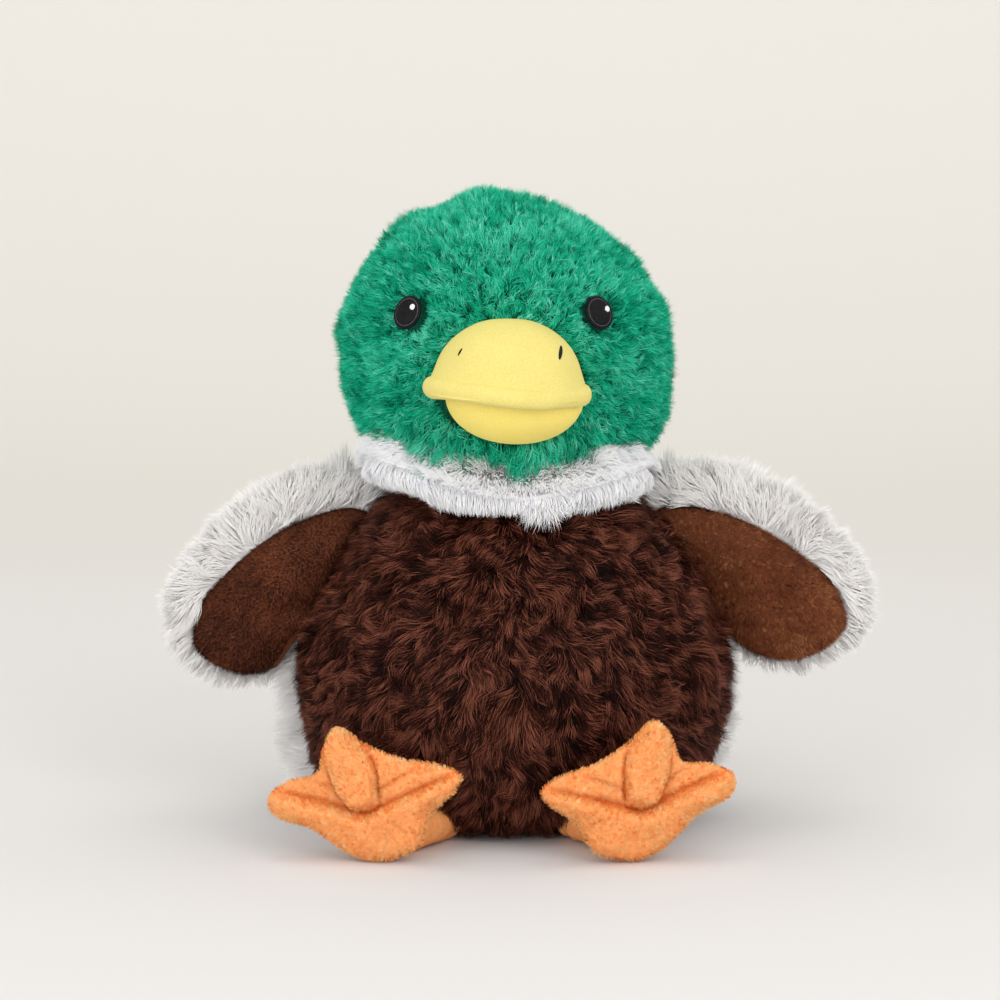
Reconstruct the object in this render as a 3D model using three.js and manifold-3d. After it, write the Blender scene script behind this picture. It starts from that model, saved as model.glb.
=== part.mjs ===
import * as THREE from 'three';
import { mergeVertices } from 'three/addons/utils/BufferGeometryUtils.js';
import Module from 'manifold-3d';

// Plush duck, seated and facing -Y. Millimetres, +Z up, the seat rests at z = 0.
// Every outer surface stands where the tips of the pile stand, so a cover's
// thickness is its backing and its pile together.

const wasm = await Module();
wasm.setup();

// Fits
const gap = 0.3; // between neighbouring pieces
const overrun = 40; // how far a cutting block reaches past what it cuts
const mergeTolerance = 0.0001;

// Neck and collar
const neckHeight = 158; // centre of the ball that the head turns and nods on
const neckRadius = 30;
const neckShoulderDrop = 12; // the body's top is cut this far below the ball's centre
const nodAngle = 6; // degrees each way
const nodMargin = 0.6; // degrees left over at the end of the nod
const collarHalfWidth = 63;
const collarHalfDepth = 61;
const collarDrop = 9; // the ring's middle below the neck ball's centre
const collarHeight = neckHeight - collarDrop;
const collarHalfHeight = 14;

// Body
const bodyHalfWidth = 98;
const bodyFrontDepth = 80;
const bodyBackDepth = 84;
const bodyWaistHeight = 65; // height of the widest ring
const bodyCrown = 5; // where the shoulders would close, above the neck ball's centre
const bodyShoulderRise = neckHeight + bodyCrown - bodyWaistHeight;
const bodySeatCut = 0.5; // the seat is cut flat this deep
const bodyCoverThickness = 14;
const bodySeamSetback = 6; // side seam behind the body's middle
const weightBagTop = 36;

// Head
const headHalfWidth = 74.5;
const headOffset = -2; // to the duck's right
const headFrontDepth = 60;
const headBackDepth = 62;
const headRise = 54; // from the neck ball's centre to the head's widest ring
const headHeight = neckHeight + headRise;
const headCrownRise = 64.5;
const headCrownLean = 8; // how far the crown's top stands to the duck's right
const headJowlDrop = 62;
const headCoverThickness = 12;
const headSeamSetback = 8;

// Bill
const billHalfWidth = 31.4;
const billReach = 37; // in front of its root
const billRise = 32;
const billDrop = 17;
const billMouthDrop = 20; // below the head's widest ring
const billMouthHeight = headHeight - billMouthDrop;
const billRootSink = 3; // root centre behind the front of the head
const billLowerInset = 4; // the lower bill is this much narrower and shorter
const billLipRadius = 5;
const billTilt = 2; // degrees, its right end lower
const nostrilSpacing = 41;
const nostrilRise = 19; // above the mouth
const nostrilHeight = billMouthHeight + nostrilRise;
const nostrilLength = 5;
const nostrilWidth = 1.6;

// Eyes
const eyeSpacing = 82;
const eyeRise = 14; // above the head's widest ring
const eyeHeight = headHeight + eyeRise;
const eyeOffset = -3; // the pair's middle, to the duck's right
const eyeWidth = 12.4;
const eyeLength = 15;
const eyeThickness = 4;
const eyeDepth = 2; // its middle below the tips of the pile
const eyeLean = 25; // degrees, tops lean inward
const highlightDiameter = 2.8;
const highlightAcross = 3; // from the eye's middle, to the duck's left
const highlightUp = 1.6;

// Wings
const wingSpan = 89;
const wingDrop = 68;
const wingShoulderX = 60;
const wingShoulderDrop = 22; // below the neck ball's centre
const wingShoulderHeight = neckHeight - wingShoulderDrop;
const wingRootStart = 4; // the root seam's upper end below the shoulder
const wingRootLength = 40;
const wingRootTop = wingShoulderHeight - wingRootStart; // heights between which it is sewn on
const wingRootBottom = wingRootTop - wingRootLength;
const wingRootBead = 2.5; // radius of the rolled root seam
const wingFrontRise = 6;
const wingBackRise = 13;
const wingLeftRoll = 6; // degrees, the left wing hangs lower
const wingSwingForward = 30; // degrees about the root seam
const wingSwingBack = 35;

// Legs and feet
const hipSpacing = 54;
const hipSetout = 1.5; // the hip ball's centre in front of the body
const hipRadius = 8;
const legSwell = 8.5; // radius halfway
const legHeight = 9;
const legSwingOut = 20; // degrees that a leg swings, about the upright through its hip
const legSwingIn = 10;
const ankleRadius = 7.5;
const footHalfSpan = 42;
const footLength = 60;
const footFrontRise = 8.5;
const footBackRise = 5;
const footToeRidge = 2.6; // how far the toes stand over the webs
const footSpacing = 98;
const footForward = 98; // heel in front of the body's middle
const footLift = 0.4;
const footLean = 8; // degrees, toes back
const footYaw = 12; // degrees, soles outward
const footLeftRoll = 20.8;
const footRightRoll = 10;
const ankleRise = 10; // above the heel's edge

// Tail
const tailHeight = 42;
const tailRootRadius = 9;
const tailLength = 42;
const tailHalfWidth = 17;
const tailHalfThickness = 9;
const tailTilt = 35; // degrees up
const tailRock = 15; // degrees each way

const neckCentre = new THREE.Vector3(0, 0, neckHeight);
const neckPlane = neckHeight - neckShoulderDrop;

const bodyForm = {
  x: 0, y: 0, z: bodyWaistHeight,
  halfWidth: bodyHalfWidth, front: bodyFrontDepth, back: bodyBackDepth,
  up: bodyShoulderRise, down: bodyWaistHeight + bodySeatCut,
  upPower: 1.75, downPower: 3,
};

const headForm = {
  x: headOffset, y: 0, z: headHeight, lean: headCrownLean,
  halfWidth: headHalfWidth, front: headFrontDepth, back: headBackDepth,
  up: headCrownRise, down: headJowlDrop,
  upPower: 1.84, downPower: 3.3,
};

const collarForm = {
  x: 0, y: 0, z: collarHeight,
  halfWidth: collarHalfWidth, front: collarHalfDepth, back: collarHalfDepth,
  up: collarHalfHeight, down: collarHalfHeight,
  upPower: 2.4, downPower: 2.4,
};

// Outlines, in shares of the span and drop of a wing, from its shoulder outward
const wingFrontShares = [
  [0.11, 0.015], [0.29, 0.01], [0.54, -0.075], [0.79, -0.265], [0.955, -0.47], [1, -0.735],
  [0.96, -0.853], [0.876, -0.94], [0.72, -1], [0.56, -0.963], [0.46, -0.88],
  [0.33, -0.7], [0.13, -0.3], [0.02, -0.06],
];
const wingBackShares = [
  [0.1, 0.27], [0.3, 0.31], [0.55, 0.18], [0.74, 0.02], [0.9, -0.14], [1.03, -0.31],
  [1.13, -0.47], [1.16, -0.72], [1.12, -0.89], [0.92, -1.04], [0.7, -1.05], [0.54, -1],
  [0.45, -0.88], [0.33, -0.7], [0.13, -0.3], [0.03, 0],
];
const wingCentreShares = [0.6, -0.5];
const wingFullness = 0.7; // power of the swell across a panel: lower is fuller at the edges

// Outline of a foot, in shares of its half span and length, from the heel's edge
const footShares = [
  [0, 1], [0.2, 0.91], [0.4, 0.75], [0.74, 0.76], [0.98, 0.7], [0.98, 0.58], [0.64, 0.4],
  [0.36, 0.15], [0.1, 0.03], [-0.14, 0.01], [-0.36, 0.04], [-0.57, 0.21], [-0.9, 0.32],
  [-1, 0.4], [-0.88, 0.5], [-0.5, 0.64], [-0.21, 0.82],
];
const footCentreShares = [0, 0.42];
const footFullness = 0.5;
const footToeAngles = [35, 90, 178]; // degrees about the foot's middle

const finishes = {
  green: { color: 0x1e9674, roughness: 0.95 },
  darkBrown: { color: 0x3d1c14, roughness: 0.95 },
  brown: { color: 0x5e331f, roughness: 0.9 },
  grey: { color: 0xd7d2d1, roughness: 0.95 },
  white: { color: 0xe4e4ee, roughness: 0.95 },
  yellow: { color: 0xfbee8f, roughness: 0.85 },
  darkYellow: { color: 0xeeda79, roughness: 0.85 },
  orange: { color: 0xfa9655, roughness: 0.9 },
  blackThread: { color: 0x141214, roughness: 0.5 },
  whiteThread: { color: 0xf0f0f0, roughness: 0.5 },
  fibre: { color: 0xf2f1ec, roughness: 1 },
  calico: { color: 0xe2d8c4, roughness: 0.9 },
};

const quarterTurn = Math.PI / 2;
const radians = THREE.MathUtils.degToRad;
const point = (x, y, z) => new THREE.Vector3(x, y, z);

// Closed skin over rings of points, closed at each end by a fan to a tip.
function loft(rings, firstTip, lastTip) {
  const count = rings[0].length;
  const points = [...rings.flat(), firstTip, lastTip];
  const first = points.length - 2;
  const last = points.length - 1;
  const at = (ring, step) => ring * count + (step % count);
  const index = [];
  for (let step = 0; step < count; step += 1) {
    index.push(first, at(0, step + 1), at(0, step));
    for (let ring = 0; ring + 1 < rings.length; ring += 1) {
      index.push(at(ring, step), at(ring, step + 1), at(ring + 1, step + 1));
      index.push(at(ring, step), at(ring + 1, step + 1), at(ring + 1, step));
    }
    index.push(last, at(rings.length - 1, step), at(rings.length - 1, step + 1));
  }
  const geometry = new THREE.BufferGeometry().setFromPoints(points);
  geometry.setIndex(index);
  return geometry;
}

// The stuffed form of a body or head: an ellipse at each height, whose reach
// follows one rounded curve above the widest ring and another below it.
function eggGeometry(form, sides, ringCount) {
  const rings = [];
  for (let ring = 1; ring < ringCount; ring += 1) {
    const turn = (ring / ringCount - 1 / 2) * Math.PI;
    const power = turn < 0 ? form.downPower : form.upPower;
    const reach = Math.cos(turn) ** (2 / power);
    const rise = Math.abs(Math.sin(turn)) ** (2 / power);
    const z = form.z + (turn < 0 ? -form.down : form.up) * rise;
    rings.push(eggRing(form, reach, z, sides));
  }
  const top = form.z + form.up;
  return loft(rings, point(form.x, form.y, form.z - form.down), point(middleOf(form, top), form.y, top));
}

// The middle of a form at a height: straight up to its widest ring, then leaning more and more.
function middleOf(form, z) {
  return form.x - (form.lean ?? 0) * Math.max((z - form.z) / form.up, 0) ** 3;
}

function eggRing(form, reach, z, sides) {
  return Array.from({ length: sides }, (_, side) => {
    const angle = (2 * Math.PI * side) / sides;
    const depth = Math.sin(angle) < 0 ? form.front : form.back;
    const x = middleOf(form, z) + form.halfWidth * reach * Math.cos(angle);
    return point(x, form.y + depth * reach * Math.sin(angle), z);
  });
}

function grown(form, by) {
  return {
    ...form,
    halfWidth: form.halfWidth + by, front: form.front + by, back: form.back + by,
    up: form.up + by, down: form.down + by,
  };
}

function reachAt(form, z) {
  const up = z > form.z;
  const power = up ? form.upPower : form.downPower;
  const share = Math.min(Math.abs(z - form.z) / (up ? form.up : form.down), 1);
  return (1 - share ** power) ** (1 / power);
}

function depthAt(form, x, z, depth) {
  const reach = reachAt(form, z);
  const across = Math.min(Math.abs(x - middleOf(form, z)) / (form.halfWidth * reach), 1);
  return depth * reach * Math.sqrt(1 - across ** 2);
}

const frontOf = (form, x, z) => form.y - depthAt(form, x, z, form.front);
const backOf = (form, x, z) => form.y + depthAt(form, x, z, form.back);

function sideOf(form, y, z) {
  const reach = reachAt(form, z);
  const along = Math.min(Math.abs(y - form.y) / (form.back * reach), 1);
  return form.x + form.halfWidth * reach * Math.sqrt(1 - along ** 2);
}

function solid(geometry) {
  const plain = geometry.clone();
  plain.deleteAttribute('normal');
  plain.deleteAttribute('uv');
  const merged = mergeVertices(plain, mergeTolerance);
  return new wasm.Manifold(new wasm.Mesh({
    numProp: 3,
    vertProperties: new Float32Array(merged.attributes.position.array),
    triVerts: new Uint32Array(merged.index.array),
  }));
}

function mesh(name, shape, finish) {
  const { vertProperties, triVerts, numProp } = shape.getMesh();
  const places = new Float32Array((vertProperties.length / numProp) * 3);
  places.forEach((_, at) => { places[at] = vertProperties[Math.floor(at / 3) * numProp + (at % 3)]; });
  const geometry = new THREE.BufferGeometry();
  geometry.setAttribute('position', new THREE.BufferAttribute(places, 3));
  geometry.setIndex(new THREE.BufferAttribute(new Uint32Array(triVerts), 1));
  geometry.computeVertexNormals();
  const piece = new THREE.Mesh(geometry, new THREE.MeshStandardMaterial({ ...finish, metalness: 0 }));
  piece.name = name;
  return piece;
}

function block(low, high) {
  const size = high.clone().sub(low);
  const middle = high.clone().add(low).divideScalar(2);
  return solid(new THREE.BoxGeometry(size.x, size.y, size.z).translate(middle.x, middle.y, middle.z));
}

function ball(centre, radius, sides) {
  const geometry = new THREE.SphereGeometry(radius, sides, sides / 2);
  return solid(geometry.rotateX(quarterTurn).translate(centre.x, centre.y, centre.z));
}

// The block of everything around the object with z over a level, or y over a level.
const farSide = bodyHalfWidth + wingSpan + wingShoulderX + overrun;
const farTop = headHeight + headCrownRise + overrun;
const above = (level) => block(point(-farSide, -farSide, level), point(farSide, farSide, farTop + overrun));
const below = (level) => block(point(-farSide, -farSide, -overrun), point(farSide, farSide, level));
const behind = (level) => block(point(-farSide, level, -overrun), point(farSide, farSide, farTop));
const before = (level) => block(point(-farSide, -farSide, -overrun), point(farSide, level, farTop));

// The hollow that a ball turns in: its flat facets clear the ball's corners.
function ballSeat(centre, radius, sides) {
  return ball(centre, radius / Math.cos(Math.PI / sides) ** 2 + gap / 2, sides);
}

const neckSides = 24;
const limbSides = 16;
const neckBall = ball(neckCentre, neckRadius, neckSides);
const neckSeat = ballSeat(neckCentre, neckRadius, neckSides);

// The cone under the head that the nod sweeps, so that the head clears the collar.
function nodClearance() {
  const reach = headHalfWidth + overrun;
  const slope = Math.tan(radians(nodAngle + nodMargin));
  const foot = headJowlDrop + overrun;
  const profile = [
    new THREE.Vector2(0, -foot), new THREE.Vector2(reach, -foot),
    new THREE.Vector2(reach, slope * reach), new THREE.Vector2(0, 0),
  ];
  const cone = new THREE.LatheGeometry(profile, neckSides).rotateX(quarterTurn);
  return solid(cone.translate(neckCentre.x, neckCentre.y, neckCentre.z));
}

// A cover is the shell between the outer form and the filling, one half each side of its seam.
function shell(form, thickness, sides, rings) {
  const outer = solid(eggGeometry(form, sides, rings));
  return outer.subtract(solid(eggGeometry(grown(form, -thickness), sides / 2, rings / 2)));
}

// Straight line of a wing's root seam in the plane of the wings: it touches the
// body's side halfway down, and the bead turns about it.
function wingRoot() {
  const top = new THREE.Vector2(sideOf(bodyForm, bodySeamSetback, wingRootTop), wingRootTop);
  const bottom = new THREE.Vector2(sideOf(bodyForm, bodySeamSetback, wingRootBottom), wingRootBottom);
  const along = bottom.clone().sub(top).normalize();
  const outward = new THREE.Vector2(-along.y, along.x);
  const middleHeight = (wingRootTop + wingRootBottom) / 2;
  const middle = new THREE.Vector2(sideOf(bodyForm, bodySeamSetback, middleHeight), middleHeight);
  const bulge = middle.sub(top).dot(outward);
  top.addScaledVector(outward, bulge);
  bottom.addScaledVector(outward, bulge);
  return { top, bottom, outward };
}

const root = wingRoot();

// The body with a clearance, as a limb meets it when the limb turns about an axis.
function bodyMetBy(centre, axis, degrees) {
  const body = eggGeometry(grown(bodyForm, 2 * gap), 32, 18).translate(-centre.x, -centre.y, -centre.z);
  body.applyMatrix4(new THREE.Matrix4().makeRotationAxis(axis, radians(-degrees)));
  return solid(body.translate(centre.x, centre.y, centre.z));
}

// The rolled bead along the root seam, or with a clearance, the groove it lies in.
function rootBead(side, radius, extra) {
  const length = root.bottom.distanceTo(root.top) + 2 * extra;
  const middle = root.top.clone().add(root.bottom).divideScalar(2);
  const tilt = Math.atan2(root.bottom.x - root.top.x, root.top.y - root.bottom.y);
  const bead = new THREE.CylinderGeometry(radius, radius, length, 16);
  bead.rotateZ(tilt * side).rotateX(quarterTurn);
  return solid(bead.translate(middle.x * side, bodySeamSetback, middle.y));
}

const hipX = hipSpacing / 2;
const hipCentre = (side) =>
  point(hipX * side, frontOf(bodyForm, hipX, legHeight) - hipSetout, legHeight);
const tailCentre = point(0, backOf(bodyForm, 0, tailHeight), tailHeight);

function bodyPieces() {
  const wall = shell(bodyForm, bodyCoverThickness, 32, 18);
  const sockets = [neckSeat, ballSeat(tailCentre, tailRootRadius, limbSides)];
  for (const side of [-1, 1]) {
    sockets.push(legSeat(side), rootBead(side, wingRootBead + gap, gap));
  }
  const trimmed = sockets.reduce((shape, socket) => shape.subtract(socket), wall)
    .subtract(above(neckPlane)).subtract(below(0));
  const fillForm = grown(bodyForm, -bodyCoverThickness - gap);
  const fill = solid(eggGeometry(fillForm, 16, 9)).subtract(above(neckPlane)).subtract(neckSeat);
  return [
    mesh('body_front_cover', trimmed.subtract(behind(bodySeamSetback - gap / 2)), finishes.darkBrown),
    mesh('body_back_cover', trimmed.subtract(before(bodySeamSetback + gap / 2)), finishes.grey),
    mesh('body_filling', fill.subtract(below(weightBagTop + gap)), finishes.fibre),
    mesh('weight_bag', fill.subtract(above(weightBagTop)), finishes.calico),
  ];
}

function collarPiece() {
  const shoulders = solid(eggGeometry(grown(bodyForm, gap), 32, 18)).subtract(above(neckPlane + gap));
  const ring = solid(eggGeometry(collarForm, 32, 10)).subtract(above(neckHeight));
  return mesh('neck_collar', ring.subtract(shoulders).subtract(neckSeat), finishes.white);
}

// Where a stitched piece lies on the face: its place, and the frame of the surface there.
function facePlace(x, z) {
  const step = eyeThickness / 2;
  const here = point(x, frontOf(headForm, x, z), z);
  const across = point(x + step, frontOf(headForm, x + step, z), z).sub(here);
  const up = point(x, frontOf(headForm, x, z + step), z + step).sub(here);
  const outward = across.clone().cross(up).normalize();
  const upright = up.addScaledVector(outward, -up.dot(outward)).normalize();
  const frame = new THREE.Matrix4().makeBasis(upright.clone().cross(outward), upright, outward);
  return { here, outward, frame };
}

// An eye is a flat oval in the frame of the face; its pocket is open to the front.
function eyeGeometry(place, side, by) {
  const oval = new THREE.SphereGeometry(1, 16, 8).rotateX(quarterTurn);
  oval.scale(eyeWidth / 2 + by, eyeLength / 2 + by, eyeThickness / 2 + by);
  return faceTransform(oval, place, side);
}

function faceTransform(geometry, place, side) {
  const middle = place.here.clone().addScaledVector(place.outward, -eyeDepth);
  return geometry.rotateZ(radians(eyeLean) * side).applyMatrix4(place.frame)
    .translate(middle.x, middle.y, middle.z);
}

function eyePocket(place, side) {
  const well = new THREE.CylinderGeometry(1, 1, eyeDepth + eyeThickness, 16).rotateX(quarterTurn);
  well.scale(eyeWidth / 2 + gap, eyeLength / 2 + gap, 1).translate(0, 0, (eyeDepth + eyeThickness) / 2);
  return solid(eyeGeometry(place, side, gap)).add(solid(faceTransform(well, place, side)));
}

function headPieces() {
  const hollow = nodClearance();
  const wall = shell(headForm, headCoverThickness, 32, 16).subtract(neckSeat).subtract(hollow);
  const fillForm = grown(headForm, -headCoverThickness - gap);
  const fill = solid(eggGeometry(fillForm, 16, 8)).subtract(neckSeat).subtract(hollow);
  let face = wall.subtract(behind(headSeamSetback - gap / 2));
  const pieces = [];
  for (const [side, name] of [[-1, 'left'], [1, 'right']]) {
    const place = facePlace(eyeOffset + (eyeSpacing / 2) * side, eyeHeight);
    face = face.subtract(eyePocket(place, side));
    pieces.push(mesh(`eye_${name}`, solid(eyeGeometry(place, side, 0)), finishes.blackThread));
    pieces.push(highlightPiece(`eye_highlight_${name}`, place, side));
  }
  pieces.push(mesh('head_front_cover', face, finishes.green));
  pieces.push(mesh('head_back_cover', wall.subtract(before(headSeamSetback + gap / 2)), finishes.green));
  pieces.push(mesh('head_filling', fill, finishes.fibre));
  return pieces;
}

function highlightPiece(name, place, side) {
  const dot = new THREE.SphereGeometry(highlightDiameter / 2, 12, 6).rotateX(quarterTurn);
  const share = (2 * highlightAcross / eyeWidth) ** 2 + (2 * highlightUp / eyeLength) ** 2;
  const stand = (eyeThickness / 2) * Math.sqrt(Math.max(1 - share, 0));
  dot.translate(highlightAcross, highlightUp, 0).applyMatrix4(place.frame);
  const lift = place.here.clone().addScaledVector(place.outward, stand - eyeDepth);
  dot.translate(lift.x, lift.y, lift.z);
  return mesh(name, solid(dot).subtract(solid(eyeGeometry(place, side, gap))), finishes.whiteThread);
}

const billRootY = frontOf(headForm, 0, billMouthHeight) + billRootSink;
const billForm = {
  x: 0, y: billRootY, z: billMouthHeight,
  halfWidth: billHalfWidth, front: billReach, back: billReach, up: billRise, down: billDrop,
  upPower: 2, downPower: 2,
};
const lowerBillForm = {
  ...billForm,
  halfWidth: billHalfWidth - billLowerInset, front: billReach - 2 * billLowerInset,
  down: billDrop + billLowerInset,
};

// Turns a shape of the bill about the middle of the mouth by the bill's tilt.
function tilted(geometry) {
  geometry.translate(0, 0, -billMouthHeight).rotateY(radians(billTilt));
  return geometry.translate(0, 0, billMouthHeight);
}

// The lip is a stuffed roll round the rim of the upper bill, with round ends at the face.
function lipGeometry() {
  const steps = 18;
  const rings = [];
  for (let step = 0; step <= steps; step += 1) {
    const angle = Math.PI * (1 + step / steps);
    const middle = point(billForm.x + billForm.halfWidth * Math.cos(angle),
      billForm.y + billForm.front * Math.sin(angle), billMouthHeight);
    const away = point(Math.cos(angle), Math.sin(angle), 0);
    rings.push(Array.from({ length: 12 }, (_, side) => {
      const turn = (-2 * Math.PI * side) / 12;
      return middle.clone().addScaledVector(away, billLipRadius * Math.cos(turn))
        .add(point(0, 0, billLipRadius * Math.sin(turn)));
    }));
  }
  const end = (side) => point(billForm.x + billForm.halfWidth * side, billForm.y, billMouthHeight);
  return loft(rings, end(-1), end(1));
}

function nostrilPiece(name, side) {
  const x = (nostrilSpacing / 2) * side;
  const thread = new THREE.SphereGeometry(1, 8, 6);
  thread.scale(nostrilWidth / 2, nostrilWidth, nostrilLength / 2);
  thread.translate(x, frontOf(billForm, x, nostrilHeight), nostrilHeight);
  const skin = solid(tilted(eggGeometry(grown(billForm, gap), 28, 14)));
  return mesh(name, solid(tilted(thread)).subtract(skin), finishes.blackThread);
}

function billPieces() {
  const face = solid(eggGeometry(grown(headForm, gap), 32, 16));
  const cut = (form, by) => solid(tilted(eggGeometry(grown(form, by), 28, 14)));
  const mouth = (level, high) => solid(tilted(new THREE.BoxGeometry(farSide, farSide, farSide)
    .translate(0, 0, level + (high ? farSide : -farSide) / 2)));
  const upper = cut(billForm, 0).subtract(mouth(billMouthHeight, false)).subtract(face);
  const lower = cut(lowerBillForm, 0).subtract(mouth(billMouthHeight - gap, true)).subtract(face);
  const roll = solid(tilted(lipGeometry())).subtract(face);
  const seat = cut(billForm, gap).subtract(mouth(billMouthHeight - gap, false));
  const lowerSeat = cut(lowerBillForm, gap).subtract(mouth(billMouthHeight, true));
  return [
    mesh('bill_upper', upper, finishes.yellow),
    mesh('bill_lower', lower, finishes.darkYellow),
    mesh('bill_lip', roll.subtract(seat).subtract(lowerSeat), finishes.yellow),
    nostrilPiece('nostril_stitch_left', -1),
    nostrilPiece('nostril_stitch_right', 1),
  ];
}

// Smooth closed outline through points given as shares of a width and a height.
function outlineFrom(shares, width, height, side, count) {
  const points = shares.map(([across, up]) => point(across * width * side, up * height, 0));
  const curve = new THREE.CatmullRomCurve3(points, true, 'centripetal');
  const outline = curve.getSpacedPoints(count).slice(0, count);
  return THREE.ShapeUtils.area(outline) < 0 ? outline.reverse() : outline;
}

// A sewn panel: its outline lies in the local XY plane, and it swells towards +Z or -Z.
// A ridge, if any, raises it along some directions from its centre.
function panelGeometry(outline, centre, rise, fullness, ridge) {
  const swell = [0.3, 0.55, 0.78, 0.93];
  const ringAt = (share) => outline.map((rim) => {
    const place = centre.clone().lerp(rim, share);
    const height = rise * (1 - share ** 2.4) ** fullness;
    const extra = ridge ? ridge(rim.clone().sub(centre), share) : 0;
    place.z = height + extra;
    return place;
  });
  const rings = [outline, ...swell.map(ringAt).reverse()];
  const flip = rise < 0;
  const top = point(centre.x, centre.y, rise + (ridge ? ridge(point(0, 1, 0), 0) : 0));
  return flip ? loft([...rings].reverse(), top, centre) : loft(rings, centre, top);
}

function wingPanel(side, shares, rise, roll) {
  const outline = outlineFrom(shares, wingSpan, wingDrop, side, 30);
  const centre = point(wingCentreShares[0] * wingSpan * side, wingCentreShares[1] * wingDrop, 0);
  const panel = panelGeometry(outline, centre, rise, wingFullness, null);
  panel.rotateZ(radians(roll));
  panel.translate(wingShoulderX * side, wingShoulderHeight, (gap / 2) * Math.sign(rise));
  return solid(panel.rotateX(quarterTurn).translate(0, bodySeamSetback, 0));
}

// Everything on the body's side of the root seam, down to the seam's lower end.
function inboard(side) {
  const wide = new THREE.BoxGeometry(farSide, farSide, farSide).translate(-farSide / 2, farSide / 2, 0);
  const lean = Math.atan2(root.bottom.x - root.top.x, root.top.y - root.bottom.y);
  wide.rotateZ(lean).translate(root.bottom.x, root.bottom.y, 0);
  if (side < 0) wide.rotateY(Math.PI);
  return solid(wide.rotateX(quarterTurn));
}

function wingPieces(side, name, roll) {
  const hinge = point(root.top.x * side, bodySeamSetback, root.top.y);
  const axis = point(root.bottom.x * side, bodySeamSetback, root.bottom.y).sub(hinge).normalize();
  const room = [0, -wingSwingForward * side, wingSwingBack * side]
    .map((degrees) => bodyMetBy(hinge, axis, -degrees));
  const collar = solid(eggGeometry(grown(collarForm, 2 * gap), 32, 10));
  const trim = (shape) => [inboard(side), collar, ...room].reduce((left, cut) => left.subtract(cut), shape);
  const front = trim(wingPanel(side, wingFrontShares, wingFrontRise, roll))
    .add(rootBead(side, wingRootBead, 0));
  const back = trim(wingPanel(side, wingBackShares, -wingBackRise, roll))
    .subtract(rootBead(side, wingRootBead + gap, gap));
  return [
    mesh(`wing_${name}_front_panel`, front, finishes.brown),
    mesh(`wing_${name}_back_panel`, back, finishes.grey),
  ];
}

// The frame of a foot: heel on the floor, toes up, sole turned outward.
function footFrame(side, roll) {
  const frame = new THREE.Group();
  frame.position.set((footSpacing / 2) * side, -footForward, footLift);
  frame.rotation.set(quarterTurn - radians(footLean), 0, radians(footYaw) * side, 'ZXY');
  const rolled = new THREE.Group();
  rolled.rotation.z = -radians(roll) * side;
  frame.add(rolled);
  frame.updateMatrixWorld(true);
  return { frame, rolled };
}

// Toes stand over the webs and meet in the foot's middle; the heel is smooth.
function toeRidge(side) {
  return (ray, share) => {
    const angle = Math.atan2(ray.y, ray.x * side);
    const near = Math.max(...footToeAngles.map((toe) => Math.cos(angle - radians(toe))));
    const heel = ray.y < 0 ? 1 : 0;
    const crest = Math.max(near, heel) ** 12;
    return footToeRidge * (crest - 1) * Math.sin(Math.PI * share);
  };
}

const ankleLocal = () => point(0, ankleRise, -ankleRadius - 2 * gap);
const ankleCentre = (side) => footFrame(side, side < 0 ? footLeftRoll : footRightRoll)
  .rolled.localToWorld(ankleLocal());

function footPieces(side, name, roll) {
  const { frame, rolled } = footFrame(side, roll);
  const outline = outlineFrom(footShares, footHalfSpan, footLength, side, 34);
  const centre = point(footCentreShares[0] * footHalfSpan, footCentreShares[1] * footLength, 0);
  const front = panelGeometry(outline, centre, footFrontRise, footFullness, toeRidge(side));
  front.translate(0, 0, gap / 2);
  const back = panelGeometry(outline, centre, -footBackRise, footFullness, null);
  back.translate(0, 0, -gap / 2);
  const socket = ballSeat(ankleLocal(), ankleRadius, limbSides);
  rolled.add(mesh(`foot_${name}_front_panel`, solid(front), finishes.orange));
  rolled.add(mesh(`foot_${name}_back_panel`, solid(back).subtract(socket), finishes.orange));
  return [frame, mesh(`leg_${name}`, legSolid(side), finishes.orange)];
}

// A short stuffed leg: a ball at the hip, a swell, a ball at the ankle.
function legSolid(side) {
  const hip = hipCentre(side);
  const ankle = ankleCentre(side);
  const length = hip.distanceTo(ankle);
  const arc = (radius, middle, from, to) => Array.from({ length: 5 }, (_, step) => {
    const angle = from + ((to - from) * step) / 4;
    return new THREE.Vector2(radius * Math.cos(angle), middle + radius * Math.sin(angle));
  });
  const profile = [
    ...arc(hipRadius, 0, -quarterTurn, 0), new THREE.Vector2(legSwell, length / 2),
    ...arc(ankleRadius, length, 0, quarterTurn),
  ];
  profile[0].x = 0;
  profile[profile.length - 1].x = 0;
  const leg = new THREE.LatheGeometry(profile, 16);
  const along = ankle.clone().sub(hip).normalize();
  leg.applyQuaternion(new THREE.Quaternion().setFromUnitVectors(point(0, 1, 0), along));
  return solid(leg.translate(hip.x, hip.y, hip.z));
}

// The room under the belly that the leg sweeps: the hip's ball and a fan that
// widens with the swing and is as high as the leg.
function legSeat(side) {
  const hip = hipCentre(side);
  const along = ankleCentre(side).sub(hip);
  const reach = along.length() + ankleRadius;
  const half = radians(legSwingOut + legSwingIn) / 2;
  const middle = Math.atan2(along.y, along.x) + (radians(legSwingOut - legSwingIn) / 2) * side;
  const radius = legSwell + gap;
  const ringAt = (away) => Array.from({ length: 16 }, (_, step) => {
    const angle = (2 * Math.PI * (step + 1 / 2)) / 16;
    const across = radius * Math.cos(angle) / Math.cos(half);
    return point(away, across + Math.sign(across) * away * Math.tan(half), radius * Math.sin(angle));
  });
  const fan = loft([ringAt(0), ringAt(reach)], point(0, 0, 0), point(reach, 0, 0));
  return solid(fan.rotateZ(middle).translate(hip.x, hip.y, hip.z)).add(ballSeat(hip, hipRadius, limbSides));
}

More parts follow.
